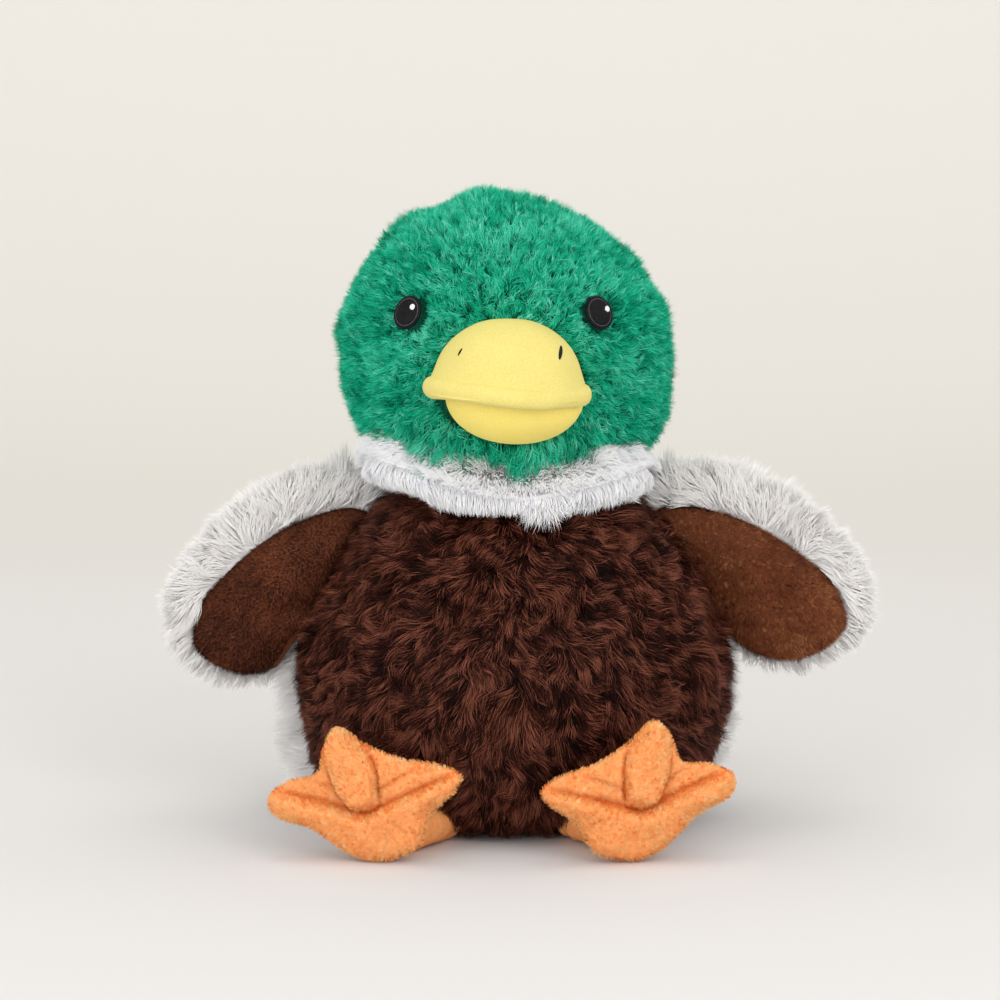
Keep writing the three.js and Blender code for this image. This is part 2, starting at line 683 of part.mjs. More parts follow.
// A small flat tail, broad near its root and drawn to a soft point.
function tailPiece() {
  const plumeForm = {
    x: 0, y: 0, z: tailRootRadius,
    halfWidth: tailHalfWidth, front: tailHalfThickness, back: tailHalfThickness,
    up: tailLength - tailRootRadius, down: tailRootRadius, upPower: 1.7, downPower: 2,
  };
  const plume = eggGeometry(plumeForm, 16, 10).rotateX(radians(tailTilt) - quarterTurn);
  const blade = [-tailRock, 0, tailRock].map((degrees) => bodyMetBy(tailCentre, point(1, 0, 0), degrees))
    .reduce((left, body) => left.subtract(body), solid(plume.translate(...tailCentre.toArray())));
  return mesh('tail', blade.add(ball(tailCentre, tailRootRadius, limbSides)), finishes.grey);
}

const group = new THREE.Group();
group.add(...bodyPieces(), collarPiece(), mesh('neck_filling', neckBall, finishes.fibre));
group.add(...headPieces(), ...billPieces());
group.add(...wingPieces(-1, 'left', wingLeftRoll), ...wingPieces(1, 'right', 0));
group.add(...footPieces(-1, 'left', footLeftRoll), ...footPieces(1, 'right', footRightRoll));
group.add(tailPiece());

export default group;
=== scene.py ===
import math
import bmesh
import bpy
import numpy as np
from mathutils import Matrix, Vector, kdtree


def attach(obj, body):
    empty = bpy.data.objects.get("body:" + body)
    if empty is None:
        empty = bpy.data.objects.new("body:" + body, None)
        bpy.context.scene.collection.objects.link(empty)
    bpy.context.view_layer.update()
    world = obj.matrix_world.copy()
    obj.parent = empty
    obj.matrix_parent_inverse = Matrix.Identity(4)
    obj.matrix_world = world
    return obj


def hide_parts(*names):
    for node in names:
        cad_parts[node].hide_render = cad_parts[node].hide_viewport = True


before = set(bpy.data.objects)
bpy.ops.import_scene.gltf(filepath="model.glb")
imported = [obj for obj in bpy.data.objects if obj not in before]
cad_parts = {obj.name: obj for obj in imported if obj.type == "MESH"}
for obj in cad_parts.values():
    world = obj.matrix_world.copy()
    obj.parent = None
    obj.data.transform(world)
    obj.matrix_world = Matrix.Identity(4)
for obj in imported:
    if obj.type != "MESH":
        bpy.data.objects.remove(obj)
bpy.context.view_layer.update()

mm = 0.001
growth = 1.0
toneBins = 24  # shades that the fibres of a pile are sorted into
mostFaces = 190000  # in one piece of pile
bloom = 0.75  # how far a fibre is shaded like the skin that it grows from
pair = ((-1, "left"), (1, "right"))
up = np.array([0, 0, 1.0])


def stage(words):
    print(words, flush=True)


def link(name, data):
    thing = bpy.data.objects.new(name, data)
    bpy.context.scene.collection.objects.link(thing)
    return thing


# The camera stands where the photographer's did, a little over the wings
camera = {"target": (-0.0044, 0.0, 0.140), "distance": 1.5, "elevation": 7.0, "across": 0.44, "film": 36.0}


def placeCamera(c):
    data = bpy.data.cameras.new("photoCamera")
    data.sensor_width = c["film"]
    data.lens = c["film"] * c["distance"] / c["across"]
    data.clip_start, data.clip_end = 0.05, 30.0
    eye = link("photoCamera", data)
    rise = math.radians(c["elevation"])
    away = Vector((0, -math.cos(rise), math.sin(rise)))
    eye.location = Vector(c["target"]) + away * c["distance"]
    eye.rotation_euler = (-away).to_track_quat("-Z", "Y").to_euler()
    bpy.context.scene.camera = eye


placeCamera(camera)
stage("camera placed")


def paint(red, green, blue):  # a screen colour as Blender's linear one
    levels = [level / 255 for level in (red, green, blue)]
    return tuple(v / 12.92 if v <= 0.04045 else ((v + 0.055) / 1.055) ** 2.4 for v in levels) + (1.0,)


def grey(level):
    return (level, level, level, 1.0)


def unit(rows):
    return rows / np.maximum(np.linalg.norm(rows, axis=-1, keepdims=True), 1e-9)


def smooth(low, high, value):
    t = np.clip((np.asarray(value, float) - low) / (high - low), 0, 1)
    return t * t * (3 - 2 * t)


def hump(value, size):  # 1 at zero, falling off like a bell
    return np.exp(-(value / size) ** 2)


def softNoise(points, size, seed):  # slow waves in random directions, from about -1 to 1
    rng = np.random.default_rng(seed)
    ways = unit(rng.normal(size=(9, 3))) * rng.uniform(0.6, 1.5, (9, 1))
    phases = rng.uniform(0, 2 * math.pi, 9)
    return np.sin(points @ ways.T * (2 * math.pi / size) + phases).sum(1) / 3.4


def flatNoise(flat, size, seed):  # the same over a flat panel
    return softNoise(np.column_stack([flat, 0 * flat[:, 0]]), size, seed)


def take(kept, *rows):
    return [row[kept] for row in rows]


def startMaterial(name, roughness, shine):
    made = bpy.data.materials.new(name)
    made.use_nodes = True
    tree = made.node_tree
    tree.nodes.clear()
    shader = tree.nodes.new("ShaderNodeBsdfPrincipled")
    out = tree.nodes.new("ShaderNodeOutputMaterial")
    tree.links.new(shader.outputs[0], out.inputs[0])
    shader.inputs["Roughness"].default_value = roughness
    shader.inputs["Specular IOR Level"].default_value = shine
    return made, tree, shader


def ramp(tree, source, stops):
    node = tree.nodes.new("ShaderNodeValToRGB")
    bar = node.color_ramp
    while len(bar.elements) < len(stops):
        bar.elements.new(0.5)
    for element, (place, colour) in zip(bar.elements, stops):
        element.position = place
        element.color = colour
    tree.links.new(source, node.inputs[0])
    return node.outputs[0]


def multiply(tree, first, second):
    node = tree.nodes.new("ShaderNodeMix")
    node.data_type = "RGBA"
    node.blend_type = "MULTIPLY"
    node.inputs[0].default_value = 1.0
    tree.links.new(first, node.inputs[6])
    tree.links.new(second, node.inputs[7])
    return node.outputs[2]


def noise(tree, scale, detail, stretch=(1, 1, 1), roughness=0.5):
    place = tree.nodes.new("ShaderNodeTexCoord")
    turn = tree.nodes.new("ShaderNodeMapping")
    turn.inputs["Scale"].default_value = stretch
    node = tree.nodes.new("ShaderNodeTexNoise")
    node.inputs["Scale"].default_value = scale
    node.inputs["Detail"].default_value = detail
    node.inputs["Roughness"].default_value = roughness
    tree.links.new(place.outputs["Object"], turn.inputs[0])
    tree.links.new(turn.outputs[0], node.inputs["Vector"])
    return node.outputs[0]


def attribute(tree, name):
    node = tree.nodes.new("ShaderNodeAttribute")
    node.attribute_name = name
    return node.outputs["Fac"]


# Fibres: each has its own shade, and all are painted darker towards the backing: a painted shade for the
# depth between them
def pile(name, dark, mid, light, roots, roughness, shine):
    made, tree, shader = startMaterial(name, roughness, shine)
    stops = [(0.08, paint(*dark)), (0.5, paint(*mid)), (0.92, paint(*light))]
    colour = ramp(tree, attribute(tree, "tone"), stops)
    # painted shade: the colour falls to the level roots at a fibre's root
    depth = ramp(tree, attribute(tree, "along"), [(0.0, grey(roots)), (0.65, grey(1.0))])
    tree.links.new(multiply(tree, colour, depth), shader.inputs["Base Color"])
    return made


# Cloth and thread: fine grain, slow patches, a soft bloom at the edges
def nap(name, dark, mid, light, grain, patch, bump, roughness, sheen, shine=0.2, relief=0.0004, shade=0.86,
        stretch=(1, 1, 1)):
    made, tree, shader = startMaterial(name, roughness, shine)
    fine = noise(tree, grain, 3.0, stretch, 0.65)
    colour = ramp(tree, fine, [(0.3, paint(*dark)), (0.5, paint(*mid)), (0.72, paint(*light))])
    worn = ramp(tree, noise(tree, patch, 2.0), [(0.3, grey(shade)), (0.65, grey(1.0))])
    tree.links.new(multiply(tree, colour, worn), shader.inputs["Base Color"])
    raised = tree.nodes.new("ShaderNodeBump")
    raised.inputs["Strength"].default_value = bump
    raised.inputs["Distance"].default_value = relief
    tree.links.new(fine, raised.inputs["Height"])
    tree.links.new(raised.outputs[0], shader.inputs["Normal"])
    shader.inputs["Sheen Weight"].default_value = sheen
    shader.inputs["Sheen Roughness"].default_value = 0.45
    shader.inputs["Sheen Tint"].default_value = paint(*light)
    return made


# Finishes, named by the record's slots where they have one
minky = {"grain": 900, "bump": 0.5, "roughness": 0.85}
velboa = {"grain": 1500, "patch": 50, "bump": 0.18, "relief": 0.0003, "roughness": 0.85, "sheen": 0.3,
          "shade": 0.96}
backing = {"grain": 700, "patch": 40, "bump": 0.6, "roughness": 0.95, "sheen": 0.0}
thread = {"grain": 2200, "patch": 300, "relief": 0.0002, "sheen": 0.0}
whiteFibre = {"roots": 1.0, "roughness": 0.6, "shine": 0.3}
# roots: how dark each pile is painted at its fibres' roots, a painted shade for the depth of the pile
finish = {
    "green_pile": pile("greenPile", (0, 120, 84), (12, 196, 152), (112, 240, 206), roots=0.45, roughness=0.7,
                       shine=0.07),
    "dark_brown_pile": pile("darkBrownPile", (16, 2, 0), (50, 14, 6), (134, 78, 60), roots=0.36,
                            roughness=0.5, shine=0.07),
    "grey_pile": pile("greyPile", (236, 234, 233), (246, 244, 243), (254, 253, 252), **whiteFibre),
    "white_pile": pile("whitePile", (244, 247, 255), (252, 253, 255), (255, 255, 255), **whiteFibre),
    "brown_minky": pile("brownNap", (42, 12, 3), (118, 61, 32), (168, 108, 70), roots=0.85, roughness=0.75,
                        shine=0.15),
    "orange_minky": pile("orangeNap", (247, 128, 54), (255, 182, 108), (255, 212, 154), roots=1.0,
                         roughness=0.75, shine=0.15),
    "brown_ground": nap("brownMinkyCloth", (92, 47, 27), (108, 58, 34), (124, 70, 43), patch=40, sheen=0.1,
                        shade=0.72, **minky),
    "orange_ground": nap("orangeMinkyCloth", (255, 160, 94), (255, 170, 104), (255, 182, 118), patch=60,
                         sheen=0.25, shade=0.92, **minky),
    "yellow_velboa": nap("yellowVelboa", (224, 207, 117), (230, 215, 127), (237, 225, 140), **velboa),
    "dark_yellow_velboa": nap("darkYellowVelboa", (245, 222, 114), (249, 229, 122), (252, 236, 132),
                              **velboa),
    # the green and brown backings are painted a darker version of their pile's colour: painted shade for the
    # depth between the fibres
    "green_ground": nap("greenBacking", (2, 58, 42), (6, 84, 62), (14, 108, 80), **backing),
    "brown_backing": nap("brownBacking", (24, 7, 3), (38, 13, 7), (52, 20, 11), **backing),
    "grey_ground": nap("greyBacking", (242, 240, 238), (248, 246, 245), (253, 252, 251), **backing),
    "white_ground": nap("whiteBacking", (248, 248, 254), (252, 252, 255), (255, 255, 255), **backing),
    "black_thread": nap("blackThread", (3, 3, 5), (10, 10, 13), (28, 28, 33), bump=0.5, roughness=0.45,
                        shine=0.15, stretch=(1, 1, 0.12), **thread),
    "grey_thread": nap("greyThread", (58, 58, 66), (84, 84, 94), (116, 116, 126), bump=0.5, roughness=0.4,
                       shine=0.5, **thread),
    "white_thread": nap("whiteThread", (224, 224, 228), (244, 244, 246), (254, 254, 254), bump=0.4,
                        roughness=0.35, shine=0.5, **thread),
    "fibre_filling": nap("loftyFilling", (222, 220, 214), (240, 238, 233), (250, 249, 246), grain=500,
                         patch=60, bump=1.0, relief=0.001, roughness=1.0, sheen=0.2),
    "calico": nap("calicoCloth", (208, 196, 172), (226, 216, 196), (238, 230, 214), grain=1600, patch=60,
                  bump=0.6, roughness=0.9, sheen=0.1),
}
stage(f"{len(finish)} finishes made")


def addMesh(name, points, faces, material):
    data = bpy.data.meshes.new(name)
    data.from_pydata((np.asarray(points, float) * mm).tolist(), [], [list(map(int, face)) for face in faces])
    data.validate()
    data.shade_smooth()
    piece = link(name, data)
    data.materials.append(material)
    return piece


def triangles(faces):
    corners = [(face[0], face[at], face[at + 1]) for face in faces for at in range(1, len(face) - 1)]
    return np.array(corners, int)


def pointNormals(points, tris):
    a, b, c = (points[tris[:, k]] for k in range(3))
    across = np.cross(b - a, c - a)
    out = np.zeros_like(points)
    for k in range(3):
        np.add.at(out, tris[:, k], across)
    return unit(out)


def scatter(points, faces, perSquare, seed):  # evenly spread roots on a skin, and the skin's normals there
    rng = np.random.default_rng(seed)
    tris = triangles(faces)
    a, b, c = (points[tris[:, k]] for k in range(3))
    areas = np.linalg.norm(np.cross(b - a, c - a), axis=1) / 2
    total = np.cumsum(areas)
    count = int(total[-1] * perSquare * growth)
    pick = np.searchsorted(total, (np.arange(count) + rng.random(count)) / count * total[-1])
    corners = tris[np.minimum(pick, len(tris) - 1)]
    u, v = rng.random(count), rng.random(count)
    fold = u + v > 1
    u[fold], v[fold] = 1 - u[fold], 1 - v[fold]
    shares = (1 - u - v, u, v)

    def mix(rows):
        return sum(rows[corners[:, k]] * share[:, None] for k, share in enumerate(shares))

    return mix(points), unit(mix(pointNormals(points, tris)))


def strandPaths(roots, normals, combs, lengths, fibre, rng):  # each leaves its root at a lean and bends over
    count, rings = len(roots), fibre["rings"]
    flat = unit(combs - (combs * normals).sum(1)[:, None] * normals)
    side = np.cross(normals, flat)
    swirl = np.radians(fibre["swirl"]) * softNoise(roots, fibre["swirlSize"], int(rng.integers(1e6)))
    swirl = swirl + np.radians(fibre["stray"]) * rng.normal(size=count)
    flat = flat * np.cos(swirl)[:, None] + side * np.sin(swirl)[:, None]
    side = np.cross(normals, flat)
    lean = np.radians(fibre["lean"][0] + fibre["leanSpread"] * rng.normal(size=count))
    bend = np.radians(fibre["lean"][1] - fibre["lean"][0])
    path = np.zeros((rings + 1, count, 3))
    path[0] = roots - normals * fibre.get("sink", 0.6)
    for ring in range(rings):
        angle = lean + bend * (ring + 0.5) / rings
        step = normals * np.cos(angle)[:, None] + flat * np.sin(angle)[:, None]
        path[ring + 1] = path[ring] + (lengths / rings)[:, None] * step
    return path, side


def gather(path, side, normals, lengths, fibre, rng):  # locks: strands drawn to the tip of the nearest leader
    rings, count = path.shape[0] - 1, path.shape[1]
    leaders = rng.choice(count, max(count // max(int(fibre["lock"] * growth), 2), 1), replace=False)
    tree = kdtree.KDTree(len(leaders))
    for at, leader in enumerate(leaders):
        tree.insert(path[0, leader], at)
    tree.balance()
    owner = np.array([tree.find(root)[1] for root in path[0]])
    phase = rng.uniform(0, 2 * math.pi, len(leaders))[owner] + 0.35 * rng.normal(size=count)
    gain = rng.uniform(0.75, 1.2, len(leaders))[owner]
    leadPath = path[:, leaders[owner]]
    for ring in range(1, rings + 1):
        s = ring / rings
        path[ring] += fibre["pull"] * s ** 1.4 * (leadPath[ring] - path[ring])
        turn = phase + 2 * math.pi * fibre["turns"] * s
        curl = (fibre["curl"] * gain * s)[:, None]
        path[ring] += curl * (side * np.cos(turn)[:, None] + 0.6 * normals * np.sin(turn)[:, None])
        path[ring, :, 2] -= fibre.get("droop", 0.0) * s * s * lengths
    return rng.normal(size=len(leaders))[owner]


def strandFrames(path, outs):  # along, across and up of every ring; up is the skin's normal where it can be
    along = np.empty_like(path)
    along[1:-1] = path[2:] - path[:-2]
    along[0], along[-1] = path[1] - path[0], path[-1] - path[-2]
    along = unit(along)
    guide = np.where(np.abs(along[..., 2:3]) > 0.9, np.array([1.0, 0, 0]), up)
    rise = outs - (outs * along).sum(-1, keepdims=True) * along
    steep = smooth(0.1, 0.35, np.linalg.norm(rise, axis=-1))[..., None]
    across = guide - (guide * along).sum(-1, keepdims=True) * along
    rise = unit(unit(rise) * steep + unit(across) * (1 - steep))
    return along, np.cross(rise, along), rise


def strandFaces(rings):  # the faces of one fibre, and where across its width each of their corners lies
    quads, caps, sideways = [], [], []
    for corner in range(2):
        for ring in range(rings - 1):
            quads.append((3 * ring + corner + 1, 3 * ring + corner, 3 * ring + 3 + corner,
                          3 * ring + 4 + corner))
        caps.append((3 * rings - 2 + corner, 3 * rings - 3 + corner, 3 * rings))
    for face in quads + caps:
        low = face[1] % 3 / 2
        high = low + 0.5
        sideways.extend([high, low, low, high] if len(face) == 4 else [high, low, (low + high) / 2])
    return quads + caps, np.array(sideways)


def setRows(rows, name, values, kind=np.float32):
    rows.foreach_set(name, values.astype(kind).ravel())


def strandMesh(name, path, width, tones, outs, material, bloom):  # a fibre is a ridge between two edges
    rings, count = path.shape[0] - 1, path.shape[1]
    along, across, rise = strandFrames(path, outs)
    per = 3 * rings + 1
    points, facing = np.empty((2, count, per, 3))
    for ring in range(rings):
        radius = (width * (1 - 0.62 * (ring / rings) ** 1.3))[:, None]
        for corner, (aside, height) in enumerate(((-1.0, -0.3), (0.0, 0.4), (1.0, -0.3))):
            points[:, 3 * ring + corner] = path[ring] + radius * (across[ring] * aside + rise[ring] * height)
            lit = across[ring] * aside * 0.8 + rise[ring]
            facing[:, 3 * ring + corner] = outs * bloom + lit * (1 - bloom)
    points[:, -1], facing[:, -1] = path[-1], outs * bloom + (rise[-1] + along[-1] * 0.5) * (1 - bloom)
    faces, sideways = strandFaces(rings)
    levels = np.array([min(at // 3, rings) / rings for at in range(per)])
    loops = np.array([at for face in faces for at in face])
    begin = np.concatenate([[0], np.cumsum([len(face) for face in faces])[:-1]])
    fibres = np.arange(count)[:, None]
    data = bpy.data.meshes.new(name)
    data.vertices.add(count * per)
    setRows(data.vertices, "co", points * mm)
    data.loops.add(count * len(loops))
    setRows(data.loops, "vertex_index", fibres * per + loops, np.int32)
    data.polygons.add(count * len(faces))
    setRows(data.polygons, "loop_start", fibres * len(loops) + begin, np.int32)
    data.update(calc_edges=True)
    bins = np.clip((tones * toneBins).astype(int), 0, toneBins - 1)
    shades = data.attributes.new("tone", "FLOAT", "POINT")
    setRows(shades.data, "value", np.repeat((bins + 0.5) / toneBins, per))
    setRows(data.attributes.new("along", "FLOAT", "POINT").data, "value", np.tile(levels, count))
    sheet = data.uv_layers.new(name="OFBake")  # equal shades lie on the same place of the bake's map
    u = (bins[:, None] + 0.1 + 0.8 * sideways) / toneBins
    v = np.tile(0.02 + 0.96 * levels[loops], (count, 1))
    setRows(sheet.data, "uv", np.stack([u, v], -1))
    data.shade_smooth()
    data.normals_split_custom_set_from_vertices(unit(facing).reshape(-1, 3))
    data.materials.append(material)
    return link(name, data)


def growPile(name, body, slot, roots, normals, combs, lengths, fibre, seed, shades=0.0, facing=None):
    rng = np.random.default_rng(seed)
    uneven = fibre.get("uneven", 0.22)
    lengths = lengths * rng.uniform(1 - uneven, 1 + 0.4 * uneven, len(roots))
    path, side = strandPaths(roots, normals, combs, lengths, fibre, rng)
    lockTone = gather(path, side, normals, lengths, fibre, rng)
    facing = normals if facing is None else unit(facing)
    path[..., 2] = np.maximum(path[..., 2], 0.35)  # what would go under the seat is pressed flat
    tones = 0.5 + fibre["lockTone"] * lockTone + fibre["ownTone"] * rng.normal(size=len(roots)) + shades
    width = fibre["radius"] / math.sqrt(growth) * rng.uniform(0.7, 1.25, len(roots))
    faces = 4 * (fibre["rings"] - 1) + 2
    parts = max(math.ceil(len(roots) * faces / mostFaces), 1)
    order = np.argsort(roots[:, 0] + 0.35 * roots[:, 2])  # pieces of one pile, side by side
    for number, chosen in enumerate(np.array_split(order, parts), 1):
        piece = strandMesh(f"{name}{number}", path[:, chosen], width[chosen], tones[chosen], facing[chosen],
                           finish[slot], fibre.get("bloom", bloom))
        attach(piece, body)
    stage(f"{name}: {len(roots)} fibres in {parts} pieces")


def sew(piece, body, nodes):
    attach(piece, body)
    if nodes:
        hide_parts(*nodes)


def eggLattice(form, sides, rows):  # a closed egg with its own size to the front, back, top and bottom
    points, faces = [(form["x"], form["y"], form["z"] - form["down"])], []
    for row in range(1, rows):
        turn = (row / rows - 0.5) * math.pi
        power = form["downPower"] if turn < 0 else form["upPower"]
        reach = math.cos(turn) ** (2 / power)
        rise = abs(math.sin(turn)) ** (2 / power)
        z = form["z"] + (-form["down"] if turn < 0 else form["up"]) * rise
        for side in range(sides):
            angle = 2 * math.pi * side / sides
            depth = form["front"] if math.sin(angle) < 0 else form["back"]
            points.append((form["x"] + form["half"] * reach * math.cos(angle),
                           form["y"] + depth * reach * math.sin(angle), z))
    points.append((form["x"], form["y"], form["z"] + form["up"]))

    def at(row, side):
        return 1 + (row - 1) * sides + side % sides

    for side in range(sides):
        faces.append((0, at(1, side + 1), at(1, side)))
        for row in range(1, rows - 1):
            faces.append((at(row, side), at(row, side + 1), at(row + 1, side + 1), at(row + 1, side)))
        faces.append((len(points) - 1, at(rows - 1, side), at(rows - 1, side + 1)))
    return np.array(points), faces


def cutSkin(name, points, faces, place, way, keepAhead, material):  # what lies on one side of a plane
    data = bmesh.new()
    rows = [data.verts.new(point * mm) for point in points]
    for face in faces:
        data.faces.new([rows[at] for at in face])
    cut = bmesh.ops.bisect_plane(
        data, geom=data.verts[:] + data.edges[:] + data.faces[:], plane_co=Vector(place) * mm, plane_no=way,
        clear_outer=not keepAhead, clear_inner=keepAhead)
    bmesh.ops.holes_fill(data, edges=[e for e in cut["geom_cut"] if isinstance(e, bmesh.types.BMEdge)])
    bmesh.ops.recalc_face_normals(data, faces=data.faces[:])
    mesh = bpy.data.meshes.new(name)
    data.to_mesh(mesh)
    data.free()
    mesh.shade_smooth()
    mesh.materials.append(material)
    return link(name, mesh)


def sewCovers(name, points, faces, body, seam, halves):  # two covers that meet at the side seam
    for half, (slot, ground) in zip(("Front", "Back"), halves):
        skin = cutSkin(f"{name}{half}Skin", points, faces, (0, seam, 0), (0, 1, 0), half == "Back",
                       finish[ground])
        sew(skin, body, [f"{name}_{half.lower()}_cover"])


def closedCurve(shares, width, height, side, count):  # centripetal Catmull-Rom through the share points
    knots = np.array(shares, float) * (width * side, height)
    total = len(knots)
    line = []
    for at in range(total):
        p = [knots[(at + k - 1) % total] for k in range(4)]
        t = np.cumsum([0] + [np.linalg.norm(p[k + 1] - p[k]) ** 0.5 for k in range(3)])
        for s in np.linspace(t[1], t[2], 24, endpoint=False):
            a = [(t[k + 1] - s) / (t[k + 1] - t[k]) * p[k] + (s - t[k]) / (t[k + 1] - t[k]) * p[k + 1]
                 for k in range(3)]
            b = [(t[k + 2] - s) / (t[k + 2] - t[k]) * a[k] + (s - t[k]) / (t[k + 2] - t[k]) * a[k + 1]
                 for k in range(2)]
            line.append((t[2] - s) / (t[2] - t[1]) * b[0] + (s - t[1]) / (t[2] - t[1]) * b[1])
    line = np.array(line)
    steps = np.linalg.norm(np.roll(line, -1, 0) - line, axis=1)
    along = np.concatenate([[0], np.cumsum(steps)])
    wanted = np.linspace(0, along[-1], count, endpoint=False)
    ring = np.vstack([line, line[:1]])
    out = np.stack([np.interp(wanted, along, ring[:, k]) for k in range(2)], 1)
    after = np.roll(out, -1, 0)
    area = (out[:, 0] * after[:, 1] - after[:, 0] * out[:, 1]).sum()
    return out[::-1] if area < 0 else out


def panel(outline, centre, rings, height):  # a swelling panel in its outline, z up; height(points, share)
    count = len(outline)
    points = []
    for ring in range(rings, 0, -1):
        s = ring / rings
        flat = centre + (outline - centre) * s
        points.append(np.column_stack([flat, height(flat, np.full(count, s))]))
    points.append(np.column_stack([[centre], height(centre[None], np.zeros(1))]))
    faces = []
    for ring in range(rings - 1):
        for step in range(count):
            after = (step + 1) % count
            faces.append((ring * count + step, ring * count + after, (ring + 1) * count + after,
                          (ring + 1) * count + step))
    last = (rings - 1) * count
    faces.extend((last + step, last + (step + 1) % count, last + count) for step in range(count))
    return np.vstack(points), faces


def pillow(outline, centre, rings, front, back):  # a closed panel: front and back heights over one outline
    count = len(outline)
    top, faces = panel(outline, centre, rings, front)
    under, backFaces = panel(outline, centre, rings, back)
    shift = len(top) - count
    faces += [tuple(at if at < count else at + shift for at in face[::-1]) for face in backFaces]
    return np.vstack([top, under[count:]]), faces


def tubeFaces(count, sides):
    return [(at * sides + s, at * sides + (s + 1) % sides, (at + 1) * sides + (s + 1) % sides,
             (at + 1) * sides + s)
            for at in range(count - 1) for s in range(sides)]


def ringTube(path, radii, sides, squashed=1.0):  # a closed tube along a path of points, round at both ends
    along = unit(np.gradient(path, axis=0))
    across = unit(np.cross(along, up))
    rise = np.cross(across, along)
    points = []
    for at in range(len(path)):
        for side in range(sides):
            angle = 2 * math.pi * side / sides
            out = across[at] * math.cos(angle) * squashed + rise[at] * math.sin(angle)
            points.append(path[at] + radii[at] * out)
    points.extend([path[0], path[-1]])
    first, last = len(path) * sides, (len(path) - 1) * sides
    faces = tubeFaces(len(path), sides)
    faces.extend((first, (s + 1) % sides, s) for s in range(sides))
    faces.extend((first + 1, last + s, last + (s + 1) % sides) for s in range(sides))
    return np.array(points), faces


# Skins lie about one pile below the tips, so every form is the CAD one less its pile
body = {
    "form": {"x": 2.2, "y": 0, "z": 64, "half": 87, "front": 74.5, "back": 77, "up": 97, "down": 62.4,
             "upPower": 1.8, "downPower": 3.4},
    "seam": 6, "sides": 128, "rows": 64, "lump": 1.3, "lumpSize": 70, "low": 1.2, "high": 147,
    "hips": {-1: 6.0, 1: 2.0}, "hipWidth": (30, 60), "hipDepth": (6, 30), "hipHeight": (100, 56),
    "rearFrom": 36, "rearShare": 0.36, "seatHeight": 3, "seatRadius": 45, "seamWave": 1.5,
    "flankDepth": (46, 16), "flankHeight": (112, 84),
    "locks": {"perSquare": 2.95, "length": 14.5, "radius": 0.182, "rings": 3, "lean": (24, 82),
              "leanSpread": 15, "swirl": 58, "swirlSize": 16, "stray": 18, "lock": 16, "pull": 0.62,
              "curl": 0.9, "turns": 0.7, "droop": 0.06, "lockTone": 0.28, "ownTone": 0.2},
    "back": {"lean": (30, 78), "lock": 14, "swirl": 34, "radius": 0.25, "bloom": 0.9, "lockTone": 0.18,
             "ownTone": 0.14},
    "flank": {"lean": (2, 36), "swirl": 18, "lock": 24, "pull": 0.4},
}


def bodySkins(b):
    points, faces = eggLattice(b["form"], b["sides"], b["rows"])
    normals = pointNormals(points, triangles(faces))
    points = points + normals * (b["lump"] * softNoise(points, b["lumpSize"], 4))[:, None]
    x, y, z = points.T
    hip = np.where(x < 0, b["hips"][-1], b["hips"][1])
    hip = hip * smooth(*b["hipDepth"], y) * smooth(*b["hipHeight"], z)
    hip = hip * smooth(*b["hipWidth"], np.abs(x))  # the back panel is the wider one
    points = points + normals * hip[:, None]
    points[:, 2] = np.clip(points[:, 2], b["low"], b["high"])
    halves = (("dark_brown_pile", "brown_backing"), ("grey_pile", "grey_ground"))
    sewCovers("body", points, faces, "torso", b["seam"], halves)
    return points, faces


def bodyPile(b, points, faces):
    fibre = b["locks"]
    roots, normals = scatter(points, faces, fibre["perSquare"], 11)
    x, y, z = roots.T
    kept = np.random.default_rng(16).random(len(x)) < np.where(y < b["rearFrom"], 1.0, b["rearShare"])
    kept &= (z < b["high"] - 1) & ~((z < b["seatHeight"]) & (np.hypot(x, y) < b["seatRadius"]))
    roots, normals = take(kept, roots, normals)
    x, y, z = roots.T
    high = smooth(60, 140, z)
    combs = np.column_stack([x / 52 * (0.75 + 0.6 * high), np.full(len(x), 0.05), -0.85 + 0.4 * high])
    lengths = fibre["length"] * (0.9 + 0.16 * softNoise(roots, 45, 5)) * (1 - 0.55 * smooth(14, 2, z))
    front = y < b["seam"] + b["seamWave"] * softNoise(roots, 18, 6)
    shades = 0.07 * softNoise(roots, 30, 7)
    growPile("bellyPile", "torso", "dark_brown_pile", *take(front, roots, normals, combs, lengths), fibre, 12,
             shades[front])
    flank = smooth(*b["flankDepth"], y) * smooth(*b["flankHeight"], z)  # grey pile stands out here
    rear = np.column_stack([x / 60 * (1 + 2.2 * flank), 0.25 - 0.35 * flank, -0.9 + 0.3 * flank])
    beyond = ~front & (flank * np.random.default_rng(15).random(len(y)) > 0.25)
    back = ~front & ~beyond
    soft = dict(fibre, **b["back"])
    growPile("backPile", "torso", "grey_pile", *take(back, roots, normals, rear, lengths * 1.2), soft, 13,
             shades[back])
    lengths = lengths * (1.2 + 0.5 * smooth(40, -40, x) + 0.35 * smooth(66, 24, z))
    growPile("flankPile", "torso", "grey_pile", *take(beyond, roots, normals, rear, lengths),
             dict(soft, **b["flank"]), 14, shades[beyond], normals[beyond] + np.array([0, -0.8, 0.4]))


bodyPile(body, *bodySkins(body))
stage("body covered")

